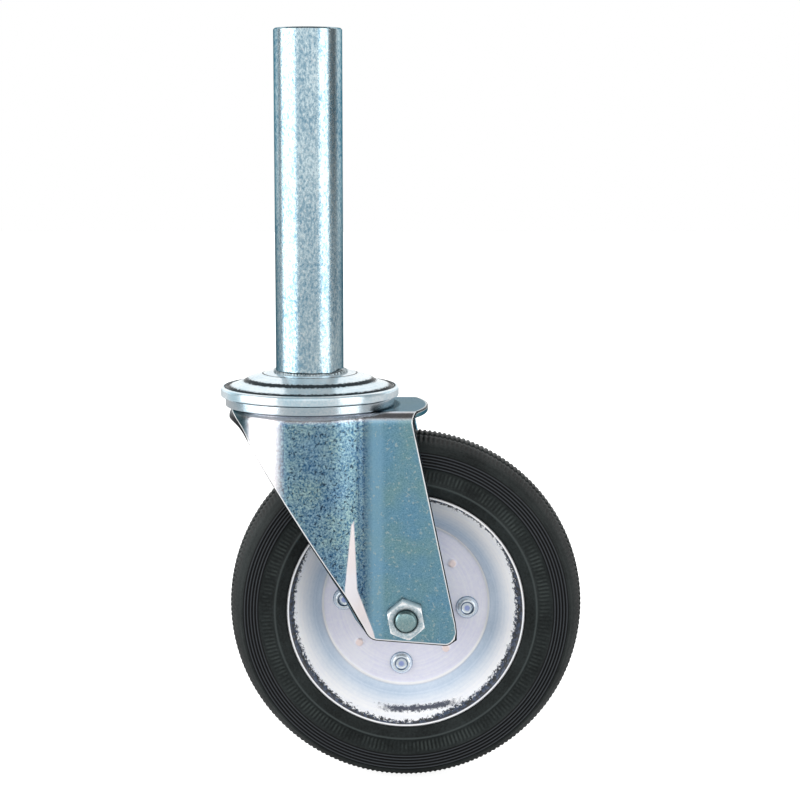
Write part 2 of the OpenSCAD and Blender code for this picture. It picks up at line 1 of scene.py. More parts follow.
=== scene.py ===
import bmesh
import bpy
import numpy as np
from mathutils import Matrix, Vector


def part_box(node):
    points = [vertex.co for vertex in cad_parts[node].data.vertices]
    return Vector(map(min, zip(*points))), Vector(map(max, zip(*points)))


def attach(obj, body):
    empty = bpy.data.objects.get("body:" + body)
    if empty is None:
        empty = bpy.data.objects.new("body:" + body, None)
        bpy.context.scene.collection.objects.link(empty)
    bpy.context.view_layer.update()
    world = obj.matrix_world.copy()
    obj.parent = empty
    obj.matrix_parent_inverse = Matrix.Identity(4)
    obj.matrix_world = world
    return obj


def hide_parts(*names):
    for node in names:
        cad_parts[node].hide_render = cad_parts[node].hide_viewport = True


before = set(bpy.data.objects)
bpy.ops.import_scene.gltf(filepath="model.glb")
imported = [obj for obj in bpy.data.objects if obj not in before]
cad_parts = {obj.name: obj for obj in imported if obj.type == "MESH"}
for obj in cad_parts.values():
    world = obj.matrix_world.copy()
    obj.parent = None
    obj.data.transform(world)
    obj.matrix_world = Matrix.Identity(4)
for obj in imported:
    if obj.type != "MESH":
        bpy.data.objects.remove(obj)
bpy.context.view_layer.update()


# Stem tube
# A plain length of 38 mm welded steel tube, sawn off, lightly chamfered outside and zinc plated. It has the
# seam of its own welding inside. It stands on the swivel head and slides up into the scaffold tube.

def lace(one, other, closed=True):
    """Quads between matching rows of corner numbers. Closed rows join their last corner to their first."""
    quads = np.stack([one, np.roll(one, -1, axis=-1), np.roll(other, -1, axis=-1), other], axis=-1)
    return (quads if closed else quads[..., :-1, :]).reshape(-1, 4)


def soften(corners, cuts, steps=4):
    """A closed outline with each corner C turned into a curve from S to E, the points that lie the cut's
    length before and after C: (1-t)^2 S + 2t(1-t) C + t^2 E. Two more points hold the flats beside it."""
    corner = np.array(corners, float)
    back = np.roll(corner, 1, axis=0) - corner
    ahead = np.roll(corner, -1, axis=0) - corner
    cut = np.broadcast_to(cuts, len(corner))[:, None]
    start = back / np.linalg.norm(back, axis=1, keepdims=True) * cut
    end = ahead / np.linalg.norm(ahead, axis=1, keepdims=True) * cut
    t = np.linspace(0, 1, steps + 1)[None, :, None]
    curve = (1 - t) ** 2 * start[:, None] + t ** 2 * end[:, None]
    hold = 1.25
    curve = np.concatenate([start[:, None] * hold, curve, end[:, None] * hold], axis=1)
    return (corner[:, None] + curve).reshape(-1, 2)


def about_stem(r, h, a):
    """Points at radius r, height h and angle a round the swivel axis: x = r cos a, y = r sin a, z = h."""
    r, h, a = np.broadcast_arrays(r, h, a)
    return np.stack([r * np.cos(a), r * np.sin(a), h], axis=-1)


def turn_angles(steps):
    """The angles of one turn in equal steps, from 0."""
    return np.arange(steps) * 2 * np.pi / steps


def half_turn(angle):
    """The same angle, from minus half a turn to half a turn."""
    return (angle + np.pi) % (2 * np.pi) - np.pi


def make_piece(name, points, faces):
    """A smooth mesh object of the points and faces, with every face turned outwards."""
    mesh = bpy.data.meshes.new(name)
    mesh.from_pydata(points.tolist(), [], faces)
    sorting = bmesh.new()
    sorting.from_mesh(mesh)
    bmesh.ops.recalc_face_normals(sorting, faces=sorting.faces)
    sorting.to_mesh(mesh)
    sorting.free()
    mesh.polygons.foreach_set("use_smooth", np.ones(len(mesh.polygons), bool))
    piece = bpy.data.objects.new(name, mesh)
    bpy.context.scene.collection.objects.link(piece)
    return piece


def ring_piece(name, points, open_ends=False):
    """A grid of points whose rows go once round. The last row joins the first, or each end row is closed by
    fans to a new point in its middle."""
    rows, columns = points.shape[:2]
    index = np.arange(rows * columns).reshape(rows, columns)
    flat = points.reshape(-1, 3)
    if not open_ends:
        return make_piece(name, flat, lace(index, np.roll(index, -1, axis=0)).tolist())
    middles = [points[0].mean(axis=0), points[-1].mean(axis=0)]
    fans = [
        np.stack([index[row], np.roll(index[row], -1), np.full(columns, rows * columns + number)], axis=-1)
        for number, row in enumerate((0, -1))
    ]
    faces = lace(index[:-1], index[1:]).tolist() + fans[0].tolist() + fans[1].tolist()
    return make_piece(name, np.vstack([flat, middles]), faces)


def feed(tree, item, inputs):
    """Sets a node's inputs to values, or joins them to other nodes' outputs."""
    for name, value in inputs.items():
        if isinstance(value, bpy.types.NodeSocket):
            tree.links.new(value, item.inputs[name])
        else:
            item.inputs[name].default_value = value


def node(tree, kind, inputs, output=0, **settings):
    """Adds a node with its settings and inputs, and returns one of its outputs."""
    item = tree.nodes.new("ShaderNode" + kind)
    for name, value in settings.items():
        setattr(item, name, value)
    feed(tree, item, inputs)
    return item.outputs[output]


def spread(tree, value, low, high, start=0.3, end=0.7):
    """The value's range from start to end, carried over to low to high."""
    ends = {"Value": value, "From Min": start, "From Max": end, "To Min": low, "To Max": high}
    return node(tree, "MapRange", ends)


def mixed(tree, share, one, other):
    """One colour at share 0 and the other at share 1."""
    return node(tree, "Mix", {0: share, 6: one, 7: other}, output=2, data_type="RGBA")


def noise(tree, place, scale, detail, roughness=0.5, output=0):
    """Irregular noise about 0.5, with as many finer layers as the detail says."""
    inputs = {"Vector": place, "Scale": scale, "Detail": detail, "Roughness": roughness}
    return node(tree, "TexNoise", inputs, output=output)


def dents(tree, height, strength, depth=0.0003):
    """Fine dents that follow a height."""
    return node(tree, "Bump", {"Height": height, "Strength": strength, "Distance": depth})


def colour(red, green, blue):
    """A screen colour of 0 to 255 as the light that it stands for."""
    c = np.array([red, green, blue]) / 255
    light = np.where(c < 0.04045, c / 12.92, ((c + 0.055) / 1.055) ** 2.4)
    return (*light.tolist(), 1.0)


def start_finish(name, stretch=(1, 1, 1)):
    """A new material, its node tree, its shader, and the place on the object with each axis stretched."""
    material = bpy.data.materials.new(name)
    material.use_nodes = True
    tree = material.node_tree
    place = node(tree, "TexCoord", {}, output="Object")
    place = node(tree, "Mapping", {"Vector": place, "Scale": stretch})
    return material, tree, tree.nodes["Principled BSDF"], place


def zinc(
    name, deep, pale, fleck, grain, rough, stretch=(1, 1, 1), flecks=0.5, contrast=0.5, edge=(1, 1, 1, 1),
):
    """Zinc plate: a fine grain from the deep to the pale colour over slow clouds, with irregular bright
    specks where a second grain is at its highest. The edge colour tints what it mirrors at a low angle."""
    material, tree, shader, place = start_finish(name, stretch)
    fine = noise(tree, place, 1 / grain, 4.0, 0.7)
    cloud = noise(tree, place, 0.06 / grain, 2.0)
    tone = mixed(tree, 0.25, fine, cloud)
    half = 0.22 - 0.16 * contrast
    base = mixed(tree, spread(tree, tone, 0.0, 1.0, 0.5 - half, 0.5 + half), deep, pale)
    other = noise(tree, place, 0.8 / grain, 3.0, output="Color")
    other = node(tree, "SeparateColor", {"Color": other}, output="Green")
    speck = spread(tree, other, 0.0, flecks, 0.6, 0.68)
    base = mixed(tree, speck, base, fleck)
    feed(tree, shader, {
        "Base Color": base,
        "Metallic": 1.0,
        "Specular Tint": edge,
        "Roughness": spread(tree, tone, rough + 0.06, rough - 0.06),
        "Normal": dents(tree, tone, 0.2),
    })
    return material


def dress(piece, finish, body, slot, *nodes):
    """Gives a new piece its finish and its body, and lets it stand for its CAD nodes."""
    piece.data.materials.append(finish)
    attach(piece, body)
    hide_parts(*nodes)


MM = 0.001

stem_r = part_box("stem_tube")[1].x
stem_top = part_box("stem_tube")[1].z
stem_bore_r = stem_r - 3 * MM
stem_chamfer = 0.8 * MM
seam_height = 0.5 * MM
seam_width = np.radians(4)
seam_angle = np.radians(115)
wall_steps = 24

stem_outline = soften([
    (stem_r, 0),
    (stem_r, stem_top - stem_chamfer),
    (stem_r - stem_chamfer, stem_top),
    (stem_bore_r + 0.3 * MM, stem_top),
    (stem_bore_r, stem_top - 0.4 * MM),
    (stem_bore_r, 0),
], [0.2 * MM, 0.2 * MM, 0.2 * MM, 0.12 * MM, 0.12 * MM, 0.2 * MM])
stem_levels = np.linspace(0.03, 0.97, wall_steps)[:, None]
stem_wall_out = np.hstack([np.full((wall_steps, 1), stem_r), stem_levels * stem_top])
stem_wall_in = np.hstack([np.full((wall_steps, 1), stem_bore_r), stem_levels[::-1] * stem_top])
points_per_corner = 7
stem_outline = np.vstack([
    stem_outline[:points_per_corner],
    stem_wall_out,
    stem_outline[points_per_corner:-points_per_corner],
    stem_wall_in,
    stem_outline[-points_per_corner:],
])

around = turn_angles(192)
stem_grid_r = stem_outline[:, :1] + np.zeros_like(around)
from_seam = half_turn(around - seam_angle)
in_bore = stem_outline[:, :1] < stem_bore_r + 0.1 * MM
stem_grid_r = stem_grid_r - in_bore * seam_height * np.exp(-(from_seam / seam_width) ** 2)
stem = ring_piece("stem_tube_drawn", about_stem(stem_grid_r, stem_outline[:, 1:], around))
stem_finish = zinc(
    "tube_zinc", colour(122, 162, 184), colour(218, 238, 244), colour(242, 248, 248),
    grain=1.2 * MM, rough=0.25, stretch=(1, 1, 0.6), flecks=0.5, contrast=0.7, edge=colour(62, 112, 126),
)
dress(stem, stem_finish, "stem", "zinc_tube", "stem_tube")


# Weld bead
# The fillet weld that holds the tube on the swivel head, run once round by hand and zinc plated over.
# It has a ripple for each drop, and a lump where the run stops and starts again.

bead_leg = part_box("stem_weld")[1].z
bead_steps = 720
bead_around = turn_angles(bead_steps)
bead_section = np.linspace(0, 1, 15)[:, None]
ripple = 0.05 * np.abs(np.sin(34 * bead_around + 0.8 * np.sin(5 * bead_around)))
wander = 0.08 * np.sin(3 * bead_around + 1) + 0.05 * np.sin(11 * bead_around + 2)


def lump(angle, width, height):
    """A bell-shaped rise in the bead: height exp(-(distance / width)^2), with angle and width in degrees."""
    away = half_turn(bead_around - np.radians(angle))
    return height * np.exp(-(away / np.radians(width)) ** 2)


bead_size = 0.42 + 0.6 * wander + ripple + lump(-24, 12, 0.5) + lump(170, 8, 0.2) + lump(-8, 5, 0.3)
bead_foot = 0.6 * MM
face_angle = np.pi / 2 * bead_section
bulge = 0.8
face_r = stem_r + bead_leg * bead_size * (np.cos(face_angle) ** bulge)
face_h = bead_leg * bead_size * (np.sin(face_angle) ** bulge)
foot_r = np.full((1, bead_steps), stem_r - bead_foot)
foot_h = np.full((1, bead_steps), -bead_foot)
bead_r = np.vstack([face_r, foot_r, foot_r, face_r[:1]])
bead_h = np.vstack([face_h, face_h[-1:], foot_h, foot_h])
bead = ring_piece("weld_bead", about_stem(bead_r, bead_h, bead_around))
bead_finish = zinc(
    "weld_zinc", colour(58, 84, 96), colour(196, 208, 212), colour(236, 240, 240),
    grain=0.9 * MM, rough=0.36, flecks=0.6,
)
dress(bead, bead_finish, "stem", "weld", "stem_weld")


# Head cap
# The upper half of the swivel head, pressed from 3 mm sheet: a flat seat for the tube, a low dome, a step,
# a shallow dish, and a rim turned down over the balls. It is bright zinc plated.

cap_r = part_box("head_cap")[1].x
cap_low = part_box("head_cap")[0].z
cap_sheet = 3 * MM
cap_bore_r = 8.05 * MM
cap_seat = (23 * MM, 0)
cap_shoulder = (26.5 * MM, -0.5 * MM)
cap_step_top = (35 * MM, -3.0 * MM)
cap_step_foot = (37.2 * MM, -4.62 * MM)
cap_dish_end = (45.2 * MM, -7.4 * MM)
cap_groove = (46.4 * MM, -8.3 * MM)
cap_crest_z = -7.7 * MM
cap_step_middle, cap_groove_middle = 36.2 * MM, 46 * MM


def sunk(corner):
    """The same corner on the sheet's underside."""
    return (corner[0], corner[1] - cap_sheet)


cap_corners = [
    ((cap_bore_r, 0), 0.3), (cap_seat, 1.2), (cap_shoulder, 1.2), (cap_step_top, 0.9), (cap_step_foot, 0.8),
    (cap_dish_end, 0.35), (cap_groove, 0.5), ((cap_r - 2.6 * MM, cap_crest_z), 0.7),
    ((cap_r, cap_crest_z), 2.0),
    ((cap_r, cap_low), 0.6), ((cap_r - cap_sheet, cap_low), 0.6), ((cap_r - cap_sheet, -11.2 * MM), 0.5),
    (sunk(cap_dish_end), 0.5), (sunk(cap_step_foot), 0.8), (sunk(cap_step_top), 0.9),
    (sunk(cap_shoulder), 1.2), (sunk(cap_seat), 1.2), ((cap_bore_r, -cap_sheet), 0.3),
]
cap_outline = soften([corner for corner, cut in cap_corners], [cut * MM for corner, cut in cap_corners], 6)
cap = ring_piece("head_cap_pressed", about_stem(cap_outline[:, :1], cap_outline[:, 1:], turn_angles(256)))


def maths(tree, operation, *values):
    """One number worked out from others, by the operation's name."""
    return node(tree, "Math", dict(enumerate(values)), operation=operation)


def off_from(tree, value, middle):
    """How far the value is from the middle, on either side: |value - middle|."""
    return maths(tree, "ABSOLUTE", maths(tree, "SUBTRACT", value, middle))


def from_axis(tree, place, centre, across):
    """The way from an axis through the centre, level with it, and its length. Across is 1 for the axes that
    lie across it, and 0 for its own."""
    away = node(tree, "VectorMath", {0: place, 1: centre}, operation="SUBTRACT")
    away = node(tree, "VectorMath", {0: away, 1: across}, operation="MULTIPLY")
    return away, node(tree, "VectorMath", {0: away}, output="Value", operation="LENGTH")


def turned_zinc(name, deep, pale, centre, axis, rough=0.2, pitch=0.5 * MM, fleck=0.6, lines=(), metal=1.0):
    """Bright zinc plate with fine rings about an axis: noise that follows the distance from the axis,
    over a faint grain. The axis is "z", or "y" for the wheel. Each line is a radius and a half width
    where the plate is painted dark, a painted shade as in a groove. What isn't metal in its look is a soft
    sheen."""
    material, tree, shader, place = start_finish(name)
    away, radius = from_axis(tree, place, centre, (1, 1, 0) if axis == "z" else (1, 0, 1))
    rings = node(tree, "TexNoise", {"W": radius, "Scale": 1 / pitch, "Detail": 3.0}, noise_dimensions="1D")
    fine = noise(tree, place, 1 / (1.1 * MM), 3.0, 0.7)
    cloud = noise(tree, place, 45.0, 2.0)
    tone = mixed(tree, 0.45, rings, fine)
    tone = mixed(tree, 0.35, tone, cloud)
    base = mixed(tree, spread(tree, tone, 0.0, 1.0, 0.5 - 0.2 * fleck, 0.5 + 0.15 * fleck), deep, pale)
    shader.inputs["Metallic"].default_value = metal
    painted_dark = None
    # Each line is a ring of painted shade, dark as the shade in a groove.
    for line_r, half in lines:
        off = off_from(tree, radius, line_r)
        off = maths(tree, "ADD", off, spread(tree, fine, 0.5 * half, -0.5 * half))
        off = spread(tree, off, 0.97, 0.0, 0.6 * half, half)
        painted_dark = off if painted_dark is None else maths(tree, "MAXIMUM", painted_dark, off)
    if lines:
        base = mixed(tree, painted_dark, base, colour(10, 20, 26))
        feed(tree, shader, {
            "Metallic": spread(tree, painted_dark, metal, 0.0, 0.0, 1.0),
            "Specular IOR Level": spread(tree, painted_dark, 0.5, 0.0, 0.0, 1.0),
        })
    feed(tree, shader, {
        "Base Color": base,
        "Roughness": spread(tree, tone, rough + 0.05, rough - 0.05),
        "Normal": dents(tree, tone, 0.12),
    })
    return material


swivel_centre = (0, 0, 0)
# The cap's three lines are rings of painted shade: at the shoulder, in the step and in the groove.
cap_finish = turned_zinc(
    "cap_zinc", colour(176, 208, 222), colour(244, 249, 252), swivel_centre, "z", rough=0.17, metal=0.55,
    lines=((cap_shoulder[0], 0.5 * MM), (cap_step_middle, 1.8 * MM), (cap_groove_middle, 2.2 * MM)),
)
dress(cap, cap_finish, "stem", "bright_zinc", "head_cap")


# Kingpin and its nut
# A turned steel pin with a flat head under the lower cup. Its shank passes through the crown, and its
# thread is drawn up by a hexagon nut inside the tube.

def turned_steel(name, base, centre, axis, rough=0.3, pitch=0.6 * MM):
    """Plain turned steel: fine rings about the axis over a dull oiled grain."""
    deep = (*(0.55 * c for c in base[:3]), 1.0)
    return turned_zinc(name, deep, base, centre, axis, rough, pitch, 0.9)


def hexagon_r(flats, angle):
    """Distance from a hexagon's middle to its side at an angle, a flat side facing angle 0:
    half the flats over cos(angle - nearest sixth of a turn)."""
    sixth = np.pi / 3
    return flats / 2 / np.cos((angle + sixth / 2) % sixth - sixth / 2)


def thread_r(r, pitch, depth, h, angle):
    """Radius of a vee thread: r less the depth times a triangle wave of (height / pitch - turns)."""
    phase = (h / pitch - angle / (2 * np.pi)) % 1
    return r - depth * np.abs(2 * phase - 1)


king_nut_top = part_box("kingpin_nut")[1].z
king_nut_flats = 24 * MM
king_low, king_top = (corner.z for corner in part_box("kingpin"))
king_head_r, king_shank_r, king_thread_r = 14 * MM, 10 * MM, 8 * MM
king_head_h = 5 * MM
king_pitch = 2 * MM

king_columns = 96
king_angles = turn_angles(king_columns)
king_body = np.array([
    (king_head_r - 0.8 * MM, king_low), (king_head_r, king_low + 0.8 * MM),
    (king_head_r, king_low + king_head_h - 0.3 * MM), (king_head_r - 0.3 * MM, king_low + king_head_h),
    (king_shank_r + 0.4 * MM, king_low + king_head_h), (king_shank_r, king_low + king_head_h + 0.4 * MM),
    (king_shank_r, -cap_sheet - 0.5 * MM), (king_shank_r - 0.5 * MM, -cap_sheet), (king_thread_r, -cap_sheet),
])
thread_steps = 110
king_thread_h = np.linspace(-cap_sheet + 0.4 * MM, king_top - 0.4 * MM, thread_steps)[:, None]
king_end = np.clip((king_top - king_thread_h) / MM, 0, 1)
king_grid_r = np.vstack([
    king_body[:, :1] + np.zeros(king_columns),
    np.minimum(thread_r(king_thread_r, king_pitch, 1.1 * MM, king_thread_h, king_angles),
               king_thread_r - 1.2 * MM * (1 - king_end)),
    np.full((1, king_columns), king_thread_r - 1.9 * MM),
])
king_grid_h = np.vstack([king_body[:, 1:], king_thread_h, [[king_top]]])
kingpin = ring_piece("kingpin_turned", about_stem(king_grid_r, king_grid_h, king_angles), open_ends=True)
king_finish = turned_steel("pin_steel", colour(150, 152, 156), swivel_centre, "z")
dress(kingpin, king_finish, "stem", "steel", "kingpin")


def nut_grid(flats, bore_r, height, chamfer, columns, dish=0.0):
    """Radius and height of a hexagon nut's closed section, row by row, at each angle. The sides are
    the hexagon, cut at each end by a cone that starts the chamfer's width inside the corners."""
    angle = turn_angles(columns)

    def level(value):
        return np.full_like(angle, value)

    side = hexagon_r(flats, angle)
    face_r = flats / 2 * 0.97
    slope = 0.58
    rise = np.array([[0.35], [0.7], [1.0]]) * chamfer
    cone = np.minimum(side, face_r + rise / slope)
    reach = np.maximum(side - face_r, 0) * slope
    foot = np.minimum(rise, reach)
    rows_r = [
        level(bore_r + 0.7 * MM), level(face_r), *cone, side, side, *cone[::-1], level(face_r),
        level(bore_r + 0.9 * MM), level(bore_r), level(bore_r),
    ]
    rows_h = [
        level(0), level(0), *foot, reach + 0.05 * MM, height - reach - 0.05 * MM, *(height - foot[::-1]),
        level(height), level(height - dish), level(height - dish - 0.7 * MM), level(0.7 * MM),
    ]
    return np.array(rows_r), np.array(rows_h), angle


nut_r, nut_h, nut_a = nut_grid(king_nut_flats, king_thread_r + 0.05 * MM, king_nut_top, 1.5 * MM, 180)
king_nut = ring_piece("kingpin_nut_cut", about_stem(nut_r, nut_h, nut_a))
dress(king_nut, king_finish, "stem", "steel", "kingpin_nut")


# Lower cup, race ring and balls
# The cup under the crown and the bright ring on it are turned from steel. Two rings of hardened balls
# run between them, the cap and the crown.

ring_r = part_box("race_ring")[1].x
ring_low, ring_high = (corner.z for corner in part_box("race_ring"))
ring_in_r = 34.5 * MM
ring_floor = ring_low + 2.6 * MM
ring_lip = 1.8 * MM
groove_mid_r, groove_ball_r, groove_ball_z = 40 * MM, 4.05 * MM, -12.39 * MM
groove_half = 3.9 * MM
groove_x = np.linspace(-groove_half, groove_half, 9)
groove = np.stack([
    groove_mid_r + groove_x,
    np.minimum(groove_ball_z - np.sqrt(groove_ball_r ** 2 - groove_x ** 2), ring_floor),
], axis=-1)
race_outline = soften([
    (ring_in_r, ring_low), (ring_r, ring_low), (ring_r, ring_high), (ring_r - ring_lip, ring_high),
    (ring_r - ring_lip, ring_floor), tuple(groove[-1] + [0.6 * MM, 0]), tuple(groove[0] - [0.6 * MM, 0]),
    (ring_in_r, ring_floor),
], np.array([0.3, 0.4, 0.4, 0.3, 0.3, 0.1, 0.1, 0.3]) * MM)
race_points = about_stem(race_outline[:, :1], race_outline[:, 1:], turn_angles(256))
race_ring = ring_piece("race_ring_turned", race_points)
race_finish = turned_zinc("race_zinc", colour(176, 200, 212), colour(236, 240, 244), swivel_centre, "z")
dress(race_ring, race_finish, "fork", "bright_zinc", "race_ring")


def refinish(finish, *nodes):
    """Gives CAD nodes a new finish."""
    for name in nodes:
        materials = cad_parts[name].data.materials
        materials.clear()
        materials.append(finish)


def polished_steel():
    """Hardened ball steel: almost a mirror, with faint cloudy wear in its gloss."""
    material, tree, shader, place = start_finish("ball_steel")
    wear = noise(tree, place, 400.0, 4.0)
    base = mixed(tree, spread(tree, wear, 0.0, 1.0), colour(150, 152, 156), colour(208, 210, 214))
    feed(tree, shader, {"Base Color": base, "Metallic": 1.0, "Roughness": spread(tree, wear, 0.08, 0.2)})
    return material


ball_finish = polished_steel()
refinish(ball_finish, "main_balls", "lower_balls", "rollers")
refinish(king_finish, "lower_cup")


# Fork
# One pressing of 3.5 mm sheet. A flat crown bends down all round into a round skirt, and the skirt runs
# through a hollow on each side into two flat legs. Its sheared edges are slightly rounded.

sheet = 3.5 * MM
skirt_r = -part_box("fork_shell")[0].x
fork_low, fork_top = (corner.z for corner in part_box("fork_shell"))
leg_y = 34 * MM
crown_bend_r = 6 * MM
cove_r = 9 * MM
shear_r = 0.55 * MM
king_hole_r = 12 * MM
bend_low = fork_top - crown_bend_r
axle_x, axle_z = 54 * MM, -133 * MM
leg_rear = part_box("fork_shell")[1].x
crown_tip, crown_bow = 66.5 * MM, 8.3 * MM
crown_arc_r = (leg_y ** 2 + crown_bow ** 2) / (2 * crown_bow)
cove_y = leg_y + cove_r
cove_x = np.sqrt((skirt_r + cove_r) ** 2 - cove_y ** 2)
cove_turn = np.arctan2(cove_y, cove_x)
rear_upright_z = fork_low + 9.9 * MM

# The fork's lower edge seen from the side, from the front of the skirt to the legs' rear
low_corners = np.array([
    (-60, -24.99), (-39.7, -24.99), (21.3, -121.6), (33.8, -146.5), (77.4, -149.9), (82.4, -146.5),
    (90, -141.3),
]) * MM
low_cuts = np.array([1, 8.8, 4, 4.5, 1.5, 0.2, 1]) * MM
low_steps = 8
low_line = soften(low_corners, low_cuts, low_steps)[low_steps + 3:-low_steps - 3]
low_line = low_line[np.argsort(low_line[:, 0])]


def mark(piece, name, values):
    """Stores one number for each of a piece's points, for its material to read."""
    layer = piece.data.attributes.new(name, "FLOAT", "POINT")
    layer.data.foreach_set("value", values)


def marked(tree, name):
    """A number that mark() has stored on the piece."""
    return node(tree, "Attribute", {}, output="Fac", attribute_name=name)


def crown_rear_x(y):
    """Where the crown's rear edge lies at a distance y from the middle, on an arc through its tip."""
    return crown_tip - crown_arc_r + np.sqrt(crown_arc_r ** 2 - y ** 2)


def leg_rear_x(z):
    """Where the leg's rear edge lies at a height: a slanted line, then upright above the bottom corner."""
    return np.interp(-z, [-bend_low, -rear_upright_z, -fork_low], [crown_rear_x(leg_y), leg_rear, leg_rear])


# One half of the plan line, from the front round the skirt and through the cove to the leg's rear: the
# direction that the face looks in, the point on the face, and the share of the way along the leg
skirt_look = np.linspace(np.pi, 2 * np.pi - cove_turn, 96)
cove_look = np.linspace(2 * np.pi - cove_turn, 1.5 * np.pi, 16)[1:]
leg_share = np.linspace(0, 1, 46)[1:] ** 0.95
plan_counts = [len(skirt_look), len(cove_look), len(leg_share)]
look = np.concatenate([skirt_look, cove_look, np.full(plan_counts[2], 1.5 * np.pi)])
look_x, look_y = np.cos(look), np.sin(look)
turn_r = np.repeat([skirt_r, -cove_r, 0], plan_counts)
mid_x = np.repeat([0, cove_x, cove_x], plan_counts)
mid_y = np.repeat([0, -cove_y, -leg_y], plan_counts)
plan_x, plan_y = mid_x + turn_r * look_x, mid_y + turn_r * look_y
share = np.concatenate([np.zeros(plan_counts[0] + plan_counts[1]), leg_share])

# Down each column, from the crown over the bend to the lower edge: length along the sheet, the angle that
# the bend has turned, and the height
foot_x = plan_x + share * (leg_rear - cove_x)
foot_z = np.minimum(np.interp(foot_x, low_line[:, 0], low_line[:, 1]), bend_low - 0.5 * MM)
bend_length = crown_bend_r * np.pi / 2
rows_down = (np.linspace(0, 1, 48) ** 1.7)[:, None]
along = rows_down * (bend_length + bend_low - foot_z)
bend_turn = np.minimum(along / crown_bend_r, np.pi / 2)
height = bend_low + crown_bend_r * np.cos(bend_turn) - np.maximum(along - bend_length, 0)
inset = crown_bend_r * (1 - np.sin(bend_turn))
rear_x = np.where(along < bend_length, crown_rear_x(leg_y - inset), leg_rear_x(height))
half_x = plan_x + share * (rear_x - cove_x) - inset * look_x
half_y = plan_y - inset * look_y
half_wall = np.stack([half_x, half_y, height], axis=-1)
half_normal = np.stack([np.sin(bend_turn) * look_x, np.sin(bend_turn) * look_y, np.cos(bend_turn)], axis=-1)
mirror_y = np.array([1, -1, 1])
wall = np.concatenate([half_wall[:, ::-1], half_wall[:, 1:] * mirror_y], axis=1)
wall_normal = np.concatenate([half_normal[:, ::-1], half_normal[:, 1:] * mirror_y], axis=1)

# The crown's flat top, in rings from the kingpin's hole out to the bend and the rear edge
rear_y = np.linspace(wall[0, -1, 1], wall[0, 0, 1], 34)[1:-1]
rear_line = np.stack([crown_rear_x(rear_y), rear_y, np.full_like(rear_y, fork_top)], axis=-1)
crown_edge = np.concatenate([wall[0], rear_line])
edge_angle = np.arctan2(crown_edge[:, 1], crown_edge[:, 0])
hole_line = about_stem(king_hole_r, fork_top, edge_angle)
rings_out = np.linspace(0, 1, 12)[:-1, None, None]
crown = hole_line + rings_out * (crown_edge - hole_line)

rows, columns = wall.shape[:2]
wall_index = np.arange(rows * columns).reshape(rows, columns)
rear_index = rows * columns + np.arange(len(rear_line))
crown_index = rear_index[-1] + 1 + np.arange(crown.shape[0] * crown.shape[1]).reshape(crown.shape[:2])
face = np.concatenate([wall.reshape(-1, 3), rear_line, crown.reshape(-1, 3)])
up = np.array([0.0, 0.0, 1.0])
face_normal = np.concatenate([
    wall_normal.reshape(-1, 3), np.tile(up, (len(face) - rows * columns, 1)),
])
crown_rows = np.vstack([crown_index, np.concatenate([wall_index[0], rear_index])])
face_quads = np.concatenate([
    lace(wall_index[:-1], wall_index[1:], closed=False),
    lace(crown_rows[:-1], crown_rows[1:]),
])
outer_loop = np.concatenate([wall_index[:, 0], wall_index[-1, 1:], wall_index[-2::-1, -1], rear_index])
hole_loop = crown_index[0]


def sheared_edge(face, face_normal, loop, count):
    """Rounds the sheet's edge along a loop of corners. Each corner moves in by the edge's radius, and rows
    of new points go round to the sheet's other side: in - W sin t - N (1 - cos t), then back the same way."""
    place, n = face[loop], face_normal[loop]
    tangent = np.roll(place, -1, axis=0) - np.roll(place, 1, axis=0)
    out = np.cross(tangent, n)
    out /= np.linalg.norm(out, axis=1, keepdims=True)
    if np.sum(out * (place - face.mean(axis=0))) < 0 and loop is not hole_loop:
        out = -out
    if loop is hole_loop and np.sum(out * (place * [1, 1, 0])) > 0:
        out = -out
    face[loop] = place - shear_r * out
    t = np.linspace(0, np.pi / 2, 4)[1:, None, None]
    first = face[loop] + shear_r * (out * np.sin(t) - n * (1 - np.cos(t)))
    second = face[loop] + shear_r * out * np.cos(t) - n * (sheet - shear_r + shear_r * np.sin(t))
    start = face[loop] + shear_r * out - n * (sheet - shear_r)
    new = np.concatenate([first, start[None], second[:-1]])
    new_index = count + np.arange(new.shape[0] * len(loop)).reshape(-1, len(loop))
    return new.reshape(-1, 3), np.vstack([loop, new_index, loop + len(face)])


outer_points, outer_rows = sheared_edge(face, face_normal, outer_loop, 2 * len(face))
hole_points, hole_rows = sheared_edge(face, face_normal, hole_loop, 2 * len(face) + len(outer_points))
fork_points = np.concatenate([face, face - sheet * face_normal, outer_points, hole_points])
fork_quads = np.concatenate([
    face_quads, face_quads + len(face), lace(outer_rows[:-1], outer_rows[1:]),
    lace(hole_rows[:-1], hole_rows[1:]),
])
fork = make_piece("fork_pressing", fork_points, fork_quads.tolist())

# Where a pale painted highlight stands for mirrored lamp light: a band on the front of the skirt, the crown's
# bend, and a tongue that widens downwards along the line where the skirt meets the hollow. The tongue is kept
# as the distance inside it.
front_highlight = np.interp(face[:, 0], np.array([-46, -35, -31, -18, -12]) * MM, [0.1, 0.1, 0.95, 0.95, 0])
crown_bend_highlight = np.interp(face[:, 2], np.array([-23.4, -21.4, -19, -18]) * MM, [0, 0.75, 0.75, 0.4])
painted_highlight = np.maximum(front_highlight, crown_bend_highlight)
tongue_z = np.array([-150, -140, -134, -117, -77]) * MM
tongue_left = np.interp(face[:, 2], tongue_z, np.array([26, 24, 22, 20.3, 24.4]) * MM)
tongue_right = np.interp(face[:, 2], tongue_z, np.array([38, 35.5, 33, 27.0, 25.3]) * MM)
tongue = np.minimum(face[:, 0] - tongue_left, tongue_right - face[:, 0])
tongue = np.clip(np.where(face[:, 2] < tongue_z[-1], tongue, -9 * MM), -9 * MM, 9 * MM)
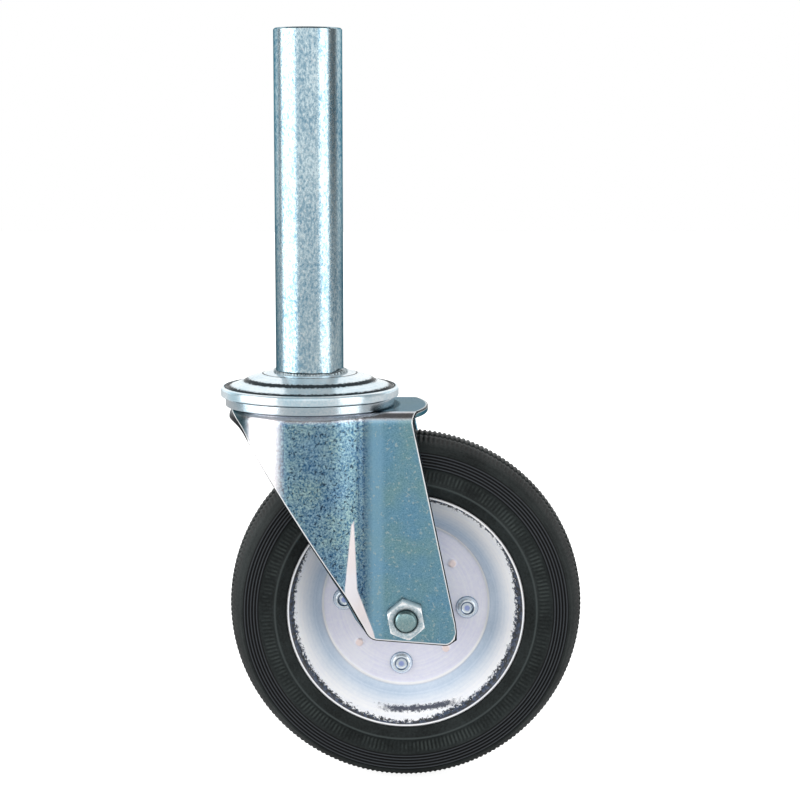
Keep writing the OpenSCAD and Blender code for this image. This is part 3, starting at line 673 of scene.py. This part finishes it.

# How far each point of the face is from the sheared edge, and less than nothing on the edge's rounding. The
# painted dark line of shade is wider at the front of the skirt.
rim_line = face[outer_loop]
gap_squared = np.sum(face ** 2, axis=1)[:, None] + np.sum(rim_line ** 2, axis=1) - 2 * face @ rim_line.T
edge_gap = np.minimum(np.sqrt(np.maximum(gap_squared.min(axis=1), 0)), 14 * MM)
edge_gap = edge_gap - np.interp(face[:, 0], np.array([-45, -38, -31]) * MM, np.array([5, 2, 0]) * MM)
edge_rounding = np.repeat(np.array([-0.4, -0.8, -0.8, 6, 6, 6]) * MM, len(outer_loop))
rest = len(fork_points) - len(face)
# The painted highlight, its tongue, and the distance that sets the painted lines along the sheared edge.
mark(fork, "painted_highlight", np.concatenate([painted_highlight, np.zeros(rest)]))
mark(fork, "tongue", np.concatenate([tongue, np.full(rest, -9 * MM)]) / MM)
mark(fork, "edge_gap", np.concatenate([
    edge_gap, np.full(len(face), 6 * MM), edge_rounding, np.full(len(hole_points), 6 * MM),
]) / MM)


def fork_plate():
    """Blue zinc plate: a coarse strong speckle on the round skirt and a fine faint one on the flat legs,
    pale and glossy with a painted highlight on a band of the skirt, the crown's bend and the tongue, with a
    painted highlight line and a painted dark line of shade along the sheared edge, and painted shade in the
    hollow, on the skirt's foremost band and on the crown outside the race ring."""
    material, tree, shader, place = start_finish("fork_zinc")
    highlight_here = marked(tree, "painted_highlight")
    in_tongue = spread(tree, marked(tree, "tongue"), 0, 1, -0.4, 0.3)
    highlight_here = maths(tree, "MAXIMUM", highlight_here, in_tongue)
    gap = marked(tree, "edge_gap")
    depth = node(tree, "SeparateXYZ", {"Vector": place}, output="X")
    on_leg = spread(tree, depth, 0.0, 1.0, 31 * MM, 36 * MM)
    coarse = noise(tree, place, 820.0, 5.0, 0.85)
    fine = noise(tree, place, 1300.0, 3.0, 0.7)
    cloud = noise(tree, place, 60.0, 3.0)
    speck = noise(tree, place, 620.0, 3.0, output="Color")
    pale_speck = node(tree, "SeparateColor", {"Color": speck}, output="Green")
    dark_speck = node(tree, "SeparateColor", {"Color": speck}, output="Blue")
    hue = spread(tree, cloud, 0.0, 1.0, 0.35, 0.65)
    skirt_deep = mixed(tree, hue, colour(48, 94, 136), colour(62, 112, 146))
    skirt_pale = mixed(tree, hue, colour(158, 198, 220), colour(186, 216, 212))
    on_skirt = mixed(tree, spread(tree, coarse, 0.0, 1.0, 0.42, 0.6), skirt_deep, skirt_pale)
    on_skirt = mixed(tree, spread(tree, dark_speck, 0.0, 0.8, 0.59, 0.64), on_skirt, colour(22, 38, 62))
    # Painted shade in the hollow where the skirt turns into the leg.
    cove = spread(tree, depth, 0.0, 0.4, 26.5 * MM, 28 * MM)
    on_skirt = mixed(tree, cove, on_skirt, colour(36, 66, 100))
    leg_pale = mixed(tree, hue, colour(136, 184, 208), colour(148, 188, 194))
    leg_deep = mixed(tree, hue, colour(98, 150, 180), colour(106, 154, 166))
    on_flat = mixed(tree, spread(tree, fine, 0.0, 1.0, 0.36, 0.62), leg_deep, leg_pale)
    stripe = spread(tree, depth, 0.55, 0.0, 40 * MM, 43 * MM)
    on_flat = mixed(tree, stripe, on_flat, colour(150, 198, 226))
    on_flat = mixed(tree, spread(tree, pale_speck, 0.0, 0.5, 0.61, 0.67), on_flat, colour(206, 220, 214))
    base = mixed(tree, on_leg, on_skirt, on_flat)
    # Painted highlight: pale where the lamps are mirrored on the skirt, the crown's bend and the tongue.
    base = mixed(tree, highlight_here, base, mixed(tree, hue, colour(248, 244, 248), colour(250, 240, 240)))
    # Painted shade: a dark grey on the foremost band of the skirt, held against the mirrored lamp.
    front = spread(tree, depth, 0.85, 0.0, -36 * MM, -31 * MM)
    base = mixed(tree, front, base, colour(66, 84, 86))
    # Painted shadow on the crown's top just outside the race ring.
    away, radius = from_axis(tree, place, swivel_centre, (1, 1, 0))
    under_ring = spread(tree, radius, 0.9, 0.0, ring_r + 2.5 * MM, ring_r + 4 * MM)
    top = node(tree, "SeparateXYZ", {"Vector": place}, output="Z")
    on_top = spread(tree, top, 0, 1, fork_top - MM, fork_top - 0.4 * MM)
    under_ring = maths(tree, "MULTIPLY", under_ring, on_top)
    base = mixed(tree, under_ring, base, colour(20, 28, 34))
    # Painted highlight along the sheared edge.
    bright_line = spread(tree, gap, 1.0, 0.0, 0.5, 0.9)
    base = mixed(tree, bright_line, base, (1, 1, 1, 1))
    soft_shine = maths(tree, "MAXIMUM", bright_line, in_tongue)
    # Painted shade: a dark line on the sheared edge's rounding, wider at the skirt's front.
    dark_line = spread(tree, gap, 1.0, 0.0, 0.05, 0.2)
    base = mixed(tree, dark_line, base, colour(16, 22, 28))
    feed(tree, shader, {
        "Base Color": base,
        "Metallic": spread(tree, soft_shine, 1.0, 0.4, 0.0, 1.0),
        "Specular Tint": colour(120, 146, 156),
        "Roughness": spread(tree, highlight_here, 0.28, 0.16, 0.0, 1.0),
        "Normal": dents(tree, coarse, 0.2),
    })
    return material


dress(fork, fork_plate(), "fork", "zinc_sheet", "fork_shell")


# Axle: bolt, nut, sleeve and side washers
# An M12 bolt clamps the legs on a turned sleeve. The plated nut is on the near side, and a plain washer
# lies on each side between the leg and the hub.

def about_axle(r, h, a):
    """Points at radius r from the axle, a distance h towards the near side, at angle a from +x to +z."""
    r, h, a = np.broadcast_arrays(r, h, a)
    return np.stack([axle_x + r * np.cos(a), -h, axle_z + r * np.sin(a)], axis=-1)


bolt_r = 6 * MM
bolt_flats = 19 * MM
bolt_far, bolt_near = (corner.y for corner in reversed(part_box("axle_bolt")))
bolt_end = -bolt_near
bolt_head = -bolt_far
bolt_angles = turn_angles(144)
bolt_side = hexagon_r(bolt_flats, bolt_angles + np.pi / 6)
head_chamfer = np.maximum(bolt_side - 9.2 * MM, 0) * 0.58
bolt_pitch = 1.75 * MM
bolt_thread_h = np.linspace(leg_y - 4 * MM, bolt_end - 0.3 * MM, 90)[:, None]
bolt_taper = np.clip((bolt_end - bolt_thread_h) / MM, 0, 1)
flat_row = np.zeros(144)
bolt_grid_r = np.vstack([
    [flat_row + 5 * MM, flat_row + 8.9 * MM, np.minimum(bolt_side, 9.2 * MM), bolt_side, bolt_side,
     flat_row + bolt_r, flat_row + bolt_r],
    np.minimum(thread_r(bolt_r, bolt_pitch, 0.95 * MM, bolt_thread_h, bolt_angles),
               bolt_r - 0.9 * MM * (1 - bolt_taper)),
    [flat_row + bolt_r - 1.5 * MM],
])
bolt_grid_h = np.vstack([
    [flat_row + bolt_head, flat_row + bolt_head, flat_row + bolt_head + 0.05 * MM,
     bolt_head + 0.08 * MM + head_chamfer, flat_row - leg_y, flat_row - leg_y, flat_row + leg_y - 5 * MM],
    bolt_thread_h + flat_row,
    [flat_row + bolt_end],
])
bolt = ring_piece("axle_bolt_cut", about_axle(bolt_grid_r, bolt_grid_h, bolt_angles), open_ends=True)
bolt_finish = zinc(
    "bolt_zinc", colour(120, 160, 166), colour(178, 206, 206), colour(224, 232, 224),
    grain=0.8 * MM, rough=0.3, flecks=0.5,
)
dress(bolt, bolt_finish, "fork", "steel", "axle_bolt")

nut_height = bolt_end - leg_y - 1.5 * MM
nut_turn = np.radians(10)
nut_r, nut_h, nut_a = nut_grid(bolt_flats, bolt_r + 0.05 * MM, nut_height, 1.3 * MM, 180, dish=0.6 * MM)
axle_nut = ring_piece("axle_nut_cut", about_axle(nut_r, leg_y + nut_h, nut_a + nut_turn))
# For each row of the nut: a painted highlight on its upper sides and top, and painted shade at its foot and
# in its thread.
nut_highlight_rows = np.array([0, 0, 0, 0, 0, 0.55, 1, 1, 1, 0.9, 0.25, 0.2, 0, 0])
nut_shade_rows = np.array([1, 1, 1, 1, 0.9, 0.8, 0, 0, 0, 0, 0, 0.3, 1, 1])
mark(axle_nut, "painted_lit_edges", np.repeat(nut_highlight_rows, len(nut_a)))
mark(axle_nut, "dark", np.repeat(nut_shade_rows, len(nut_a)))


def nut_plate():
    """Zinc plate with a white painted highlight on the nut's corners and upper edges,
    and dark painted shade in its thread and at its foot.
    """
    material, tree, shader, place = start_finish("nut_zinc")
    fine = noise(tree, place, 1000.0, 4.0, 0.7)
    painted_lit_edges = marked(tree, "painted_lit_edges")
    dark = marked(tree, "dark")
    base = mixed(tree, spread(tree, fine, 0.0, 1.0, 0.38, 0.62), colour(138, 176, 190), colour(232, 242, 246))
    # Painted highlight on the corners and upper edges, painted shade in the thread and at the foot.
    base = mixed(tree, painted_lit_edges, base, (1, 1, 1, 1))
    base = mixed(tree, dark, base, colour(18, 28, 34))
    feed(tree, shader, {
        "Base Color": base,
        "Metallic": spread(tree, painted_lit_edges, 0.7, 0.3, 0.0, 1.0),
        "Roughness": spread(tree, fine, 0.26, 0.14),
        "Normal": dents(tree, fine, 0.2),
    })
    return material


dress(axle_nut, nut_plate(), "fork", "zinc_fastener", "axle_nut")

axle_centre = (axle_x, 0, axle_z)
axle_finish = turned_steel("axle_steel", colour(150, 154, 158), axle_centre, "y")
refinish(axle_finish, "axle_sleeve", "side_washers")


# Rim halves
# Two alike pressings of 2.5 mm sheet, back to back: a flat disc with four small pips, a sloping wall and a
# flat lip. They are bright zinc plated and grip the tyre between them.

rim_sheet = 2.5 * MM
lip_out = 22.5 * MM
lip_r = 67 * MM
lip_flat = 2 * MM
disc_r = 47 * MM
hub_r = 15 * MM
rivet_angles = np.radians(-4) + turn_angles(4)
rivet_circle = hub_r + 0.63 * (disc_r - hub_r)
pip_angles = rivet_angles + np.pi / 4
pip_r, pip_h = 2.3 * MM, 1.0 * MM
scuff_x, scuff_z, scuff_bow = 8 * MM, -58.4 * MM, 6.0
wall_slope = np.arctan2(lip_out - rim_sheet, lip_r - lip_flat - disc_r)
back_shift = rim_sheet * np.tan(wall_slope / 2)

rim_outline = soften([
    (hub_r + 0.05 * MM, rim_sheet), (disc_r, rim_sheet), (lip_r - lip_flat, lip_out), (lip_r, lip_out),
    (lip_r, lip_out - rim_sheet), (lip_r - lip_flat + back_shift, lip_out - rim_sheet),
    (disc_r + back_shift, 0), (hub_r + 0.05 * MM, 0),
], np.array([0.2, 1.6, 1.3, 0.5, 0.4, 0.5, 2.4, 0.2]) * MM, 8)
corner_points = 11
disc_fill = np.linspace(hub_r + 1 * MM, disc_r - 2.6 * MM, 64)
disc_rows = np.stack([disc_fill, np.full_like(disc_fill, rim_sheet)], axis=-1)
wall_fill = np.linspace(0.12, 0.92, 14)[:, None]
wall_rows = (1 - wall_fill) * [disc_r, rim_sheet] + wall_fill * [lip_r - lip_flat, lip_out]
rim_outline = np.vstack([
    rim_outline[:corner_points], disc_rows, rim_outline[corner_points:2 * corner_points], wall_rows,
    rim_outline[2 * corner_points:],
])


def pressed_rim(near):
    """The rim section carried round the axle, with each pip raised on the disc's face: it falls from the
    pip's height to nothing over the last stretch before the pip's radius."""
    angle = turn_angles(480)
    r, h = (rim_outline[:, i:i + 1] + 0 * angle for i in (0, 1))
    on_face = (h > rim_sheet - 0.05 * MM) & (r < disc_r - 1 * MM)
    away = half_turn(angle[None, :, None] - pip_angles)
    distance = np.hypot(r[..., None] * np.cos(away) - rivet_circle, r[..., None] * np.sin(away))
    rise = on_face * np.sum(np.clip((pip_r + 0.3 * MM - distance) / (0.8 * MM), 0, 1), axis=-1)
    h = h + pip_h * rise
    rim = ring_piece("rim_half_near" if near else "rim_half_far", about_axle(r, h if near else -h, angle))
    mark(rim, "pip", rise.ravel())
    return rim


def rim_zinc():
    """Bright plate, half mirror and half soft sheen: pale violet on the flat disc and blue white on the
    sloping wall, with the fine rings of its polishing. The bend into the disc has a bright painted highlight,
    the pips are pale, and a ragged dark band, partly dirt and partly painted shade, lies in the bend inside
    the lip, with a short scuff above it."""
    material, tree, shader, place = start_finish("rim_zinc")
    away, radius = from_axis(tree, place, axle_centre, (1, 0, 1))
    rings = node(tree, "TexNoise", {"W": radius, "Scale": 700.0, "Detail": 3.0}, noise_dimensions="1D")
    fine = noise(tree, place, 500.0, 3.0, 0.6)
    cloud = noise(tree, place, 28.0, 2.0)
    on_wall = spread(tree, radius, 0.0, 1.0, disc_r + 0.2 * MM, disc_r + 1.5 * MM)
    outwards = spread(tree, radius, 0.0, 1.0, disc_r + 5 * MM, lip_r - 8 * MM)
    wall_pale = mixed(tree, outwards, colour(224, 236, 250), (1, 1, 1, 1))
    wall_deep = mixed(tree, outwards, colour(200, 218, 236), colour(244, 246, 252))
    pale = mixed(tree, on_wall, colour(246, 246, 255), wall_pale)
    deep = mixed(tree, on_wall, colour(232, 232, 250), wall_deep)
    tone = mixed(tree, 0.6, rings, cloud)
    tone = mixed(tree, 0.3, tone, fine)
    base = mixed(tree, spread(tree, tone, 0.0, 1.0, 0.36, 0.6), deep, pale)
    # Painted highlight along the bend into the disc.
    bend = off_from(tree, radius, disc_r + 0.3 * MM)
    base = mixed(tree, spread(tree, bend, 1.0, 0.0, 0.3 * MM, 0.9 * MM), base, (1, 1, 1, 1))
    ragged = noise(tree, place, 560.0, 4.0, 0.8)
    ragged = spread(tree, ragged, -1.8 * MM, 1.8 * MM)
    wander = noise(tree, place, 14.0, 1.0)
    wander = spread(tree, wander, -0.4 * MM, 0.8 * MM, 0.35, 0.65)
    across = node(tree, "SeparateXYZ", {"Vector": away}, output="X")
    aside = maths(tree, "ABSOLUTE", across)
    below = node(tree, "SeparateXYZ", {"Vector": away}, output="Z")
    low_side = maths(tree, "MULTIPLY_ADD", below, -0.5, aside)
    at_sides = spread(tree, low_side, -0.4 * MM, 2.0 * MM, 34 * MM, 68 * MM)
    inner = radius
    for shift in (ragged, wander, at_sides):
        inner = maths(tree, "ADD", inner, shift)
    # A ragged dark band inside the lip, partly dirt and partly painted shade, wider at the sides and the
    # bottom.
    dirt_and_shade = spread(tree, inner, 0.0, 0.95, lip_r - 3.3 * MM, lip_r - 2.6 * MM)
    clean = spread(tree, radius, 1.0, 0.0, lip_r - 1.6 * MM, lip_r - 1.3 * MM)
    dirt_and_shade = maths(tree, "MULTIPLY", dirt_and_shade, clean)
    grime_and_shade = mixed(tree, spread(tree, fine, 0.0, 1.0, 0.45, 0.6), colour(6, 10, 18), colour(46, 62, 88))
    base = mixed(tree, dirt_and_shade, base, grime_and_shade)
    scuff = maths(tree, "MULTIPLY", across, across)
    scuff = maths(tree, "MULTIPLY_ADD", scuff, -scuff_bow, below)
    scuff = off_from(tree, scuff, scuff_z)
    scuff = maths(tree, "MULTIPLY_ADD", ragged, 0.6, scuff)
    scuff = spread(tree, scuff, 0.9, 0.0, 0.9 * MM, 1.7 * MM)
    scuff_end = off_from(tree, across, scuff_x)
    scuff_end = maths(tree, "MULTIPLY_ADD", ragged, 3.0, scuff_end)
    scuff_end = spread(tree, scuff_end, 1.0, 0.0, 15 * MM, 24 * MM)
    scuff = maths(tree, "MULTIPLY", scuff, scuff_end)
    base = mixed(tree, scuff, base, colour(22, 34, 60))
    joint_line = spread(tree, radius, 0.0, 1.0, lip_r - 0.4 * MM, lip_r - 0.2 * MM)
    base = mixed(tree, joint_line, base, colour(14, 16, 20))
    pip = marked(tree, "pip")
    base = mixed(tree, pip, base, colour(255, 236, 232))
    feed(tree, shader, {
        "Base Color": base,
        "Metallic": spread(tree, on_wall, 0.25, 0.08, 0.0, 1.0),
        "Roughness": spread(tree, on_wall, 0.32, 0.2, 0.0, 1.0),
        "Specular IOR Level": 0.3,
        "Normal": dents(tree, tone, 0.08),
    })
    return material


rim_finish = rim_zinc()
dress(pressed_rim(True), rim_finish, "wheel", "rim_zinc", "rim_near")
dress(pressed_rim(False), rim_finish, "wheel", "rim_zinc", "rim_far")


# Rivets
# Four plated rivets through both discs. Each has a domed head on both faces with a ring pressed in it by
# the riveting tool.

rivet_h = 3 * MM
rivet_shank = 3.5 * MM
head_rows = np.array([
    (0.55, 0.74), (2.1, 0.72), (3.05, 0.76), (3.45, 0.88), (3.85, 0.97), (4.35, 0.97), (5.0, 0.84),
    (5.6, 0.62), (6.1, 0.36), (6.4, 0.14), (6.5, 0.0),
])
rivet_angles_round = turn_angles(48)
rivet_section_r = np.concatenate([head_rows[:, 0] * MM, [rivet_shank, rivet_shank], head_rows[::-1, 0] * MM])
rivet_section_h = np.concatenate([
    rim_sheet + head_rows[:, 1] * rivet_h, [rim_sheet, -rim_sheet], -rim_sheet - head_rows[::-1, 1] * rivet_h,
])
rivet_x = rivet_section_r[:, None] * np.cos(rivet_angles_round)
rivet_z = rivet_section_r[:, None] * np.sin(rivet_angles_round)


def rivet_plate():
    """Blue zinc plate in rings from the rivet's middle outwards: a violet middle, a pale ring, the dark ring
    pressed by the tool, and a pale edge."""
    material, tree, shader, place = start_finish("rivet_zinc")
    out_r = marked(tree, "out_r")
    fine = noise(tree, place, 1000.0, 3.0)
    base = mixed(tree, spread(tree, fine, 0.0, 1.0), colour(214, 230, 242), colour(248, 252, 255))
    for ring_middle, half, paint in ((0, 2.0, colour(150, 168, 230)), (3.45, 0.5, colour(50, 80, 116)),
                                     (6.5, 0.5, colour(100, 140, 164))):
        off = off_from(tree, out_r, ring_middle)
        base = mixed(tree, spread(tree, off, 0.85, 0.0, 0.6 * half, half), base, paint)
    feed(tree, shader, {
        "Base Color": base,
        "Metallic": 0.65,
        "Roughness": spread(tree, fine, 0.24, 0.14),
        "Normal": dents(tree, fine, 0.15),
    })
    return material


rivet_finish = rivet_plate()
for number, turn in enumerate(rivet_angles):
    centre = (axle_x + rivet_circle * np.cos(turn), axle_z + rivet_circle * np.sin(turn))
    rivet_points = np.stack([
        centre[0] + rivet_x, -rivet_section_h[:, None] + 0 * rivet_x, centre[1] + rivet_z,
    ], axis=-1)
    rivet = ring_piece(f"rim_rivet_{number}", rivet_points, open_ends=True)
    mark(rivet, "out_r", np.append(np.repeat(rivet_section_r / MM, len(rivet_angles_round)), [0, 0]))
    dress(rivet, rivet_finish, "wheel", "zinc_fastener", "rim_rivets")


# Hub: tube, dust caps, roller cage and rollers
# A plain steel tube welded in the rims' holes, with a pressed cap on each end. A moulded cage in it holds
# the hardened rollers that run on the axle sleeve.

hub_finish = turned_steel("hub_steel", colour(140, 144, 150), axle_centre, "y", rough=0.36)
refinish(hub_finish, "hub_tube")
dust_finish = turned_zinc("dust_cap_zinc", colour(120, 150, 160), colour(214, 222, 226), axle_centre, "y")
refinish(dust_finish, "dust_caps")


def cage_nylon():
    """Moulded nylon: ivory, faintly mottled, waxy."""
    material, tree, shader, place = start_finish("cage_nylon")
    mottle = noise(tree, place, 260.0, 3.0)
    base = mixed(tree, spread(tree, mottle, 0.0, 1.0), colour(206, 200, 178), colour(232, 228, 212))
    feed(tree, shader, {
        "Base Color": base,
        "Roughness": spread(tree, mottle, 0.38, 0.5),
        "Subsurface Weight": 0.15,
    })
    return material


refinish(cage_nylon(), "roller_cage")


# Tyre
# One solid ring of black rubber, moulded on the rims' seat. Its walls have a smooth bead, a raised ring, a
# band of fine radial ribs and five round ribs. Fine teeth cut across the middle of its tread.

wheel_r = 100 * MM
half_w = 25 * MM
tread_crown_r = 40 * MM
wall_out = half_w - 0.6 * MM
tooth_count = 220
tooth_depth = 0.75 * MM
knurl_depth = 0.4 * MM
raised_ring_r = 73.4 * MM
first_rib_r, rib_pitch, rib_h, rib_count = 82.7 * MM, 1.7 * MM, 0.6 * MM, 5
shoulder_out = half_w - 4.2 * MM

groove_out, groove_h = 8 * MM, 0.9 * MM
toothed_r, knurl_low, knurl_high, knurl_out = 96.2 * MM, 75.2 * MM, 81.4 * MM, 20 * MM
tread_out = np.concatenate([
    np.linspace(0, groove_out - 1.2 * MM, 3), groove_out + np.array([-0.6, -0.5, 0.5, 0.6]) * MM,
    np.linspace(groove_out + 1.2 * MM, shoulder_out, 6),
])
in_groove = np.abs(tread_out - groove_out) < 0.7 * MM
tread_half = np.stack([
    wheel_r - tread_crown_r + np.sqrt(tread_crown_r ** 2 - tread_out ** 2) - groove_h * in_groove, tread_out,
], axis=-1)
shoulder_half = np.array([(93.35, 21.9), (92.75, 23.3), (92.0, 24.15), (91.4, 24.4)]) * MM
rib_middle = first_rib_r + rib_pitch * (np.arange(rib_count - 1, -1, -1) + 0.5)
rib_rows = np.stack([
    rib_middle[:, None] + rib_pitch * np.array([0.34, 0.14, -0.14, -0.34]),
    np.tile(wall_out + rib_h * np.array([0, 1, 1, 0]), (rib_count, 1)),
], axis=-1).reshape(-1, 2)
wall_half = np.array([
    (82.3, 24.4), (81.9, 23.95), (81.6, 23.9), (80.2, 23.9), (76.0, 23.9),
    (74.8, 23.9), (74.3, 23.95), (73.9, 24.45), (73.4, 24.5), (72.9, 24.3), (72.4, 24.15), (70.6, 23.6),
    (69.3, 23.0), (68.3, 22.95), (67.5, 22.5), (67.05, 21.9),
]) * MM
seat_half = np.array([(67.05, 19.95), (66.5, 19.9), (60.5, 13.6), (54.55, 7.1)]) * MM
tyre_half = np.vstack([tread_half, shoulder_half, rib_rows, wall_half, seat_half])
tyre_outline = np.vstack([tyre_half, (tyre_half * [1, -1])[:0:-1]])

tyre_columns = tooth_count * 4
tyre_angle = turn_angles(tyre_columns)
tooth_phase = np.arange(tyre_columns) % 4
tooth_wave = np.where(tooth_phase < 2, 1.0, 0.0)
tyre_r, tyre_h = tyre_outline[:, :1], tyre_outline[:, 1:]
outward = np.abs(tyre_h)
on_tread = np.clip((tyre_r - toothed_r) / (0.8 * MM), 0, 1) * (np.abs(outward - groove_out) > 0.7 * MM)
from_knurl_edge = np.minimum(tyre_r - knurl_low, knurl_high - tyre_r)
on_knurl = np.clip(from_knurl_edge / (0.6 * MM), 0, 1) * (outward > knurl_out)
tyre_grid_r = tyre_r - tooth_depth * on_tread * (1 - tooth_wave)
tyre_grid_h = tyre_h - np.sign(tyre_h) * on_knurl * knurl_depth * (1 - tooth_wave)
tyre = ring_piece("tyre_moulded", about_axle(tyre_grid_r, tyre_grid_h, tyre_angle))
# Shares for the painted highlight on the knurl's crests and painted shade in the knurl's and teeth's valleys.
mark(tyre, "crest", (on_knurl * tooth_wave).ravel())
mark(tyre, "valley", ((0.35 * on_knurl + on_tread) * (1 - tooth_wave)).ravel())


def tyre_rubber():
    """Black rubber with a grey bloom in slow clouds and a fine moulded grain. The valleys between the
    wall's ribs are darkened with painted shade and their crests lightened with a painted sheen: the share
    follows the distance from the axle, once per rib. A painted highlight lies on the raised ring and the
    knurl's crests, and painted shade in the valleys of the knurl and the tread's teeth."""
    material, tree, shader, place = start_finish("tyre_rubber")
    away, radius = from_axis(tree, place, axle_centre, (1, 0, 1))
    rib = maths(tree, "SUBTRACT", radius, first_rib_r)
    crest = maths(tree, "PINGPONG", rib, rib_pitch / 2)
    crest = spread(tree, crest, 0.0, 1.0, 0.2 * rib_pitch, 0.42 * rib_pitch)
    past_first = spread(tree, radius, 0.0, 1.0, first_rib_r - 0.3 * MM, first_rib_r)
    last_rib_r = first_rib_r + rib_count * rib_pitch
    before_last = spread(tree, radius, 1.0, 0.0, last_rib_r, last_rib_r + 0.3 * MM)
    ribbed = maths(tree, "MULTIPLY", past_first, before_last)
    fine = noise(tree, place, 900.0, 4.0, 0.6)
    cloud = noise(tree, place, 38.0, 3.0)
    tone = mixed(tree, 0.5, fine, cloud)
    base = mixed(tree, spread(tree, tone, 0.0, 1.0, 0.35, 0.65), colour(20, 24, 24), colour(44, 50, 50))
    # Painted highlight on the raised ring.
    raised = off_from(tree, radius, raised_ring_r)
    base = mixed(tree, spread(tree, raised, 0.8, 0.0, 0.2 * MM, 0.8 * MM), base, colour(66, 73, 73))
    # Painted highlight on the knurl's crests, in patches.
    crest_here = marked(tree, "crest")
    patch = noise(tree, place, 55.0, 5.0, 0.8)
    crest_here = maths(tree, "MULTIPLY", crest_here, spread(tree, patch, 0.0, 0.5, 0.42, 0.6))
    base = mixed(tree, crest_here, base, colour(70, 78, 76))
    # Painted shade in the valleys of the knurl and of the tread's teeth.
    valley_here = marked(tree, "valley")
    base = mixed(tree, spread(tree, valley_here, 0.0, 0.8, 0.0, 1.0), base, colour(10, 12, 12))
    # Painted shade in the valleys between the round ribs and a painted sheen on their crests.
    lines = mixed(tree, crest, colour(10, 11, 12), colour(60, 64, 68))
    base = mixed(tree, ribbed, base, lines)
    feed(tree, shader, {
        "Base Color": base,
        "Roughness": spread(tree, tone, 0.58, 0.42),
        "Specular IOR Level": 0.15,
        "Normal": dents(tree, fine, 0.3, 0.0002),
    })
    return material


dress(tyre, tyre_rubber(), "wheel", "black_rubber", "tyre")


# Studio
# A plain pale floor that runs into a white background, and a tall soft lamp on each side of the camera. The
# camera looks slightly down on the near side.

scene = bpy.context.scene
scene.view_settings.view_transform = "Standard"

floor_z = axle_z - wheel_r
floor_size = 6.0
floor_mesh = bpy.data.meshes.new("floor")
floor_corners = [
    (x * floor_size, y * floor_size, floor_z) for x, y in ((-1, -1), (1, -1), (1, 1), (-1, 1))
]
floor_mesh.from_pydata(floor_corners, [], [(0, 1, 2, 3)])
floor = bpy.data.objects.new("floor", floor_mesh)
scene.collection.objects.link(floor)


def floor_paint():
    """Pale paint. To the camera it also glows, so that all but the contact shadow reads as white."""
    material = bpy.data.materials.new("floor_paint")
    material.use_nodes = True
    tree = material.node_tree
    tree.nodes.clear()
    seen = node(tree, "LightPath", {}, output="Is Camera Ray")
    paint = node(tree, "BsdfDiffuse", {"Color": (0.5, 0.5, 0.5, 1.0)})
    glow = maths(tree, "MULTIPLY", seen, 0.9)
    glow = node(tree, "Emission", {"Strength": glow})
    both = node(tree, "AddShader", {0: paint, 1: glow})
    out = tree.nodes.new("ShaderNodeOutputMaterial")
    tree.links.new(both, out.inputs["Surface"])
    return material


floor_mesh.materials.append(floor_paint())


def studio_world():
    """White to the camera. In reflections there is a pale wall behind the camera and a white one behind the
    object, with a dark room between them. On dull surfaces it is an even soft light."""
    world = bpy.data.worlds.new("studio")
    scene.world = world
    world.use_nodes = True
    tree = world.node_tree
    tree.nodes.clear()
    path = tree.nodes.new("ShaderNodeLightPath")
    direction = node(tree, "TexCoord", {}, output="Generated")
    depth = node(tree, "SeparateXYZ", {"Vector": direction}, output="Y")
    front = spread(tree, depth, 0.9, 0.0, -0.88, -0.66)
    back = spread(tree, depth, 0.0, 1.0, 0.3, 0.55)
    mirrored = maths(tree, "ADD", maths(tree, "ADD", front, back), 0.1)
    soft = node(tree, "Mix", {0: path.outputs["Is Diffuse Ray"], 2: mirrored, 3: 1.0})
    level = node(tree, "Mix", {0: path.outputs["Is Camera Ray"], 2: soft, 3: 1.0})
    light = node(tree, "Background", {"Color": (1, 1, 1, 1), "Strength": level})
    out = tree.nodes.new("ShaderNodeOutputWorld")
    tree.links.new(light, out.inputs["Surface"])


studio_world()

aim = np.array([0.03, 0.0, -0.03])


def soft_lamp(name, azimuth, elevation, distance, width, tall, power):
    """A soft lamp aimed at the object. Azimuth 0 is the camera's side, and positive is to the right."""
    turn, rise = np.radians(azimuth), np.radians(elevation)
    lamp = bpy.data.lights.new(name, "AREA")
    lamp.shape = "RECTANGLE"
    lamp.size, lamp.size_y, lamp.energy = width, tall, power
    away = np.array([np.sin(turn) * np.cos(rise), -np.cos(turn) * np.cos(rise), np.sin(rise)])
    holder = bpy.data.objects.new(name, lamp)
    holder.location = aim + distance * away
    holder.rotation_euler = (np.pi / 2 - rise, 0, turn)
    scene.collection.objects.link(holder)


soft_lamp("left_box", -69, 5, 1.3, 1.35, 1.6, 15.0)
soft_lamp("right_box", 56, 5, 1.4, 0.8, 1.6, 8.5)

camera_data = bpy.data.cameras.new("camera")
camera_data.sensor_width = 36.0
camera_data.lens = 85.73
camera = bpy.data.objects.new("camera", camera_data)
camera.location = (0.05074, -1.06458, 0.13337)
camera.rotation_euler = (np.radians(82.0), 0, 0)
scene.collection.objects.link(camera)
scene.camera = camera
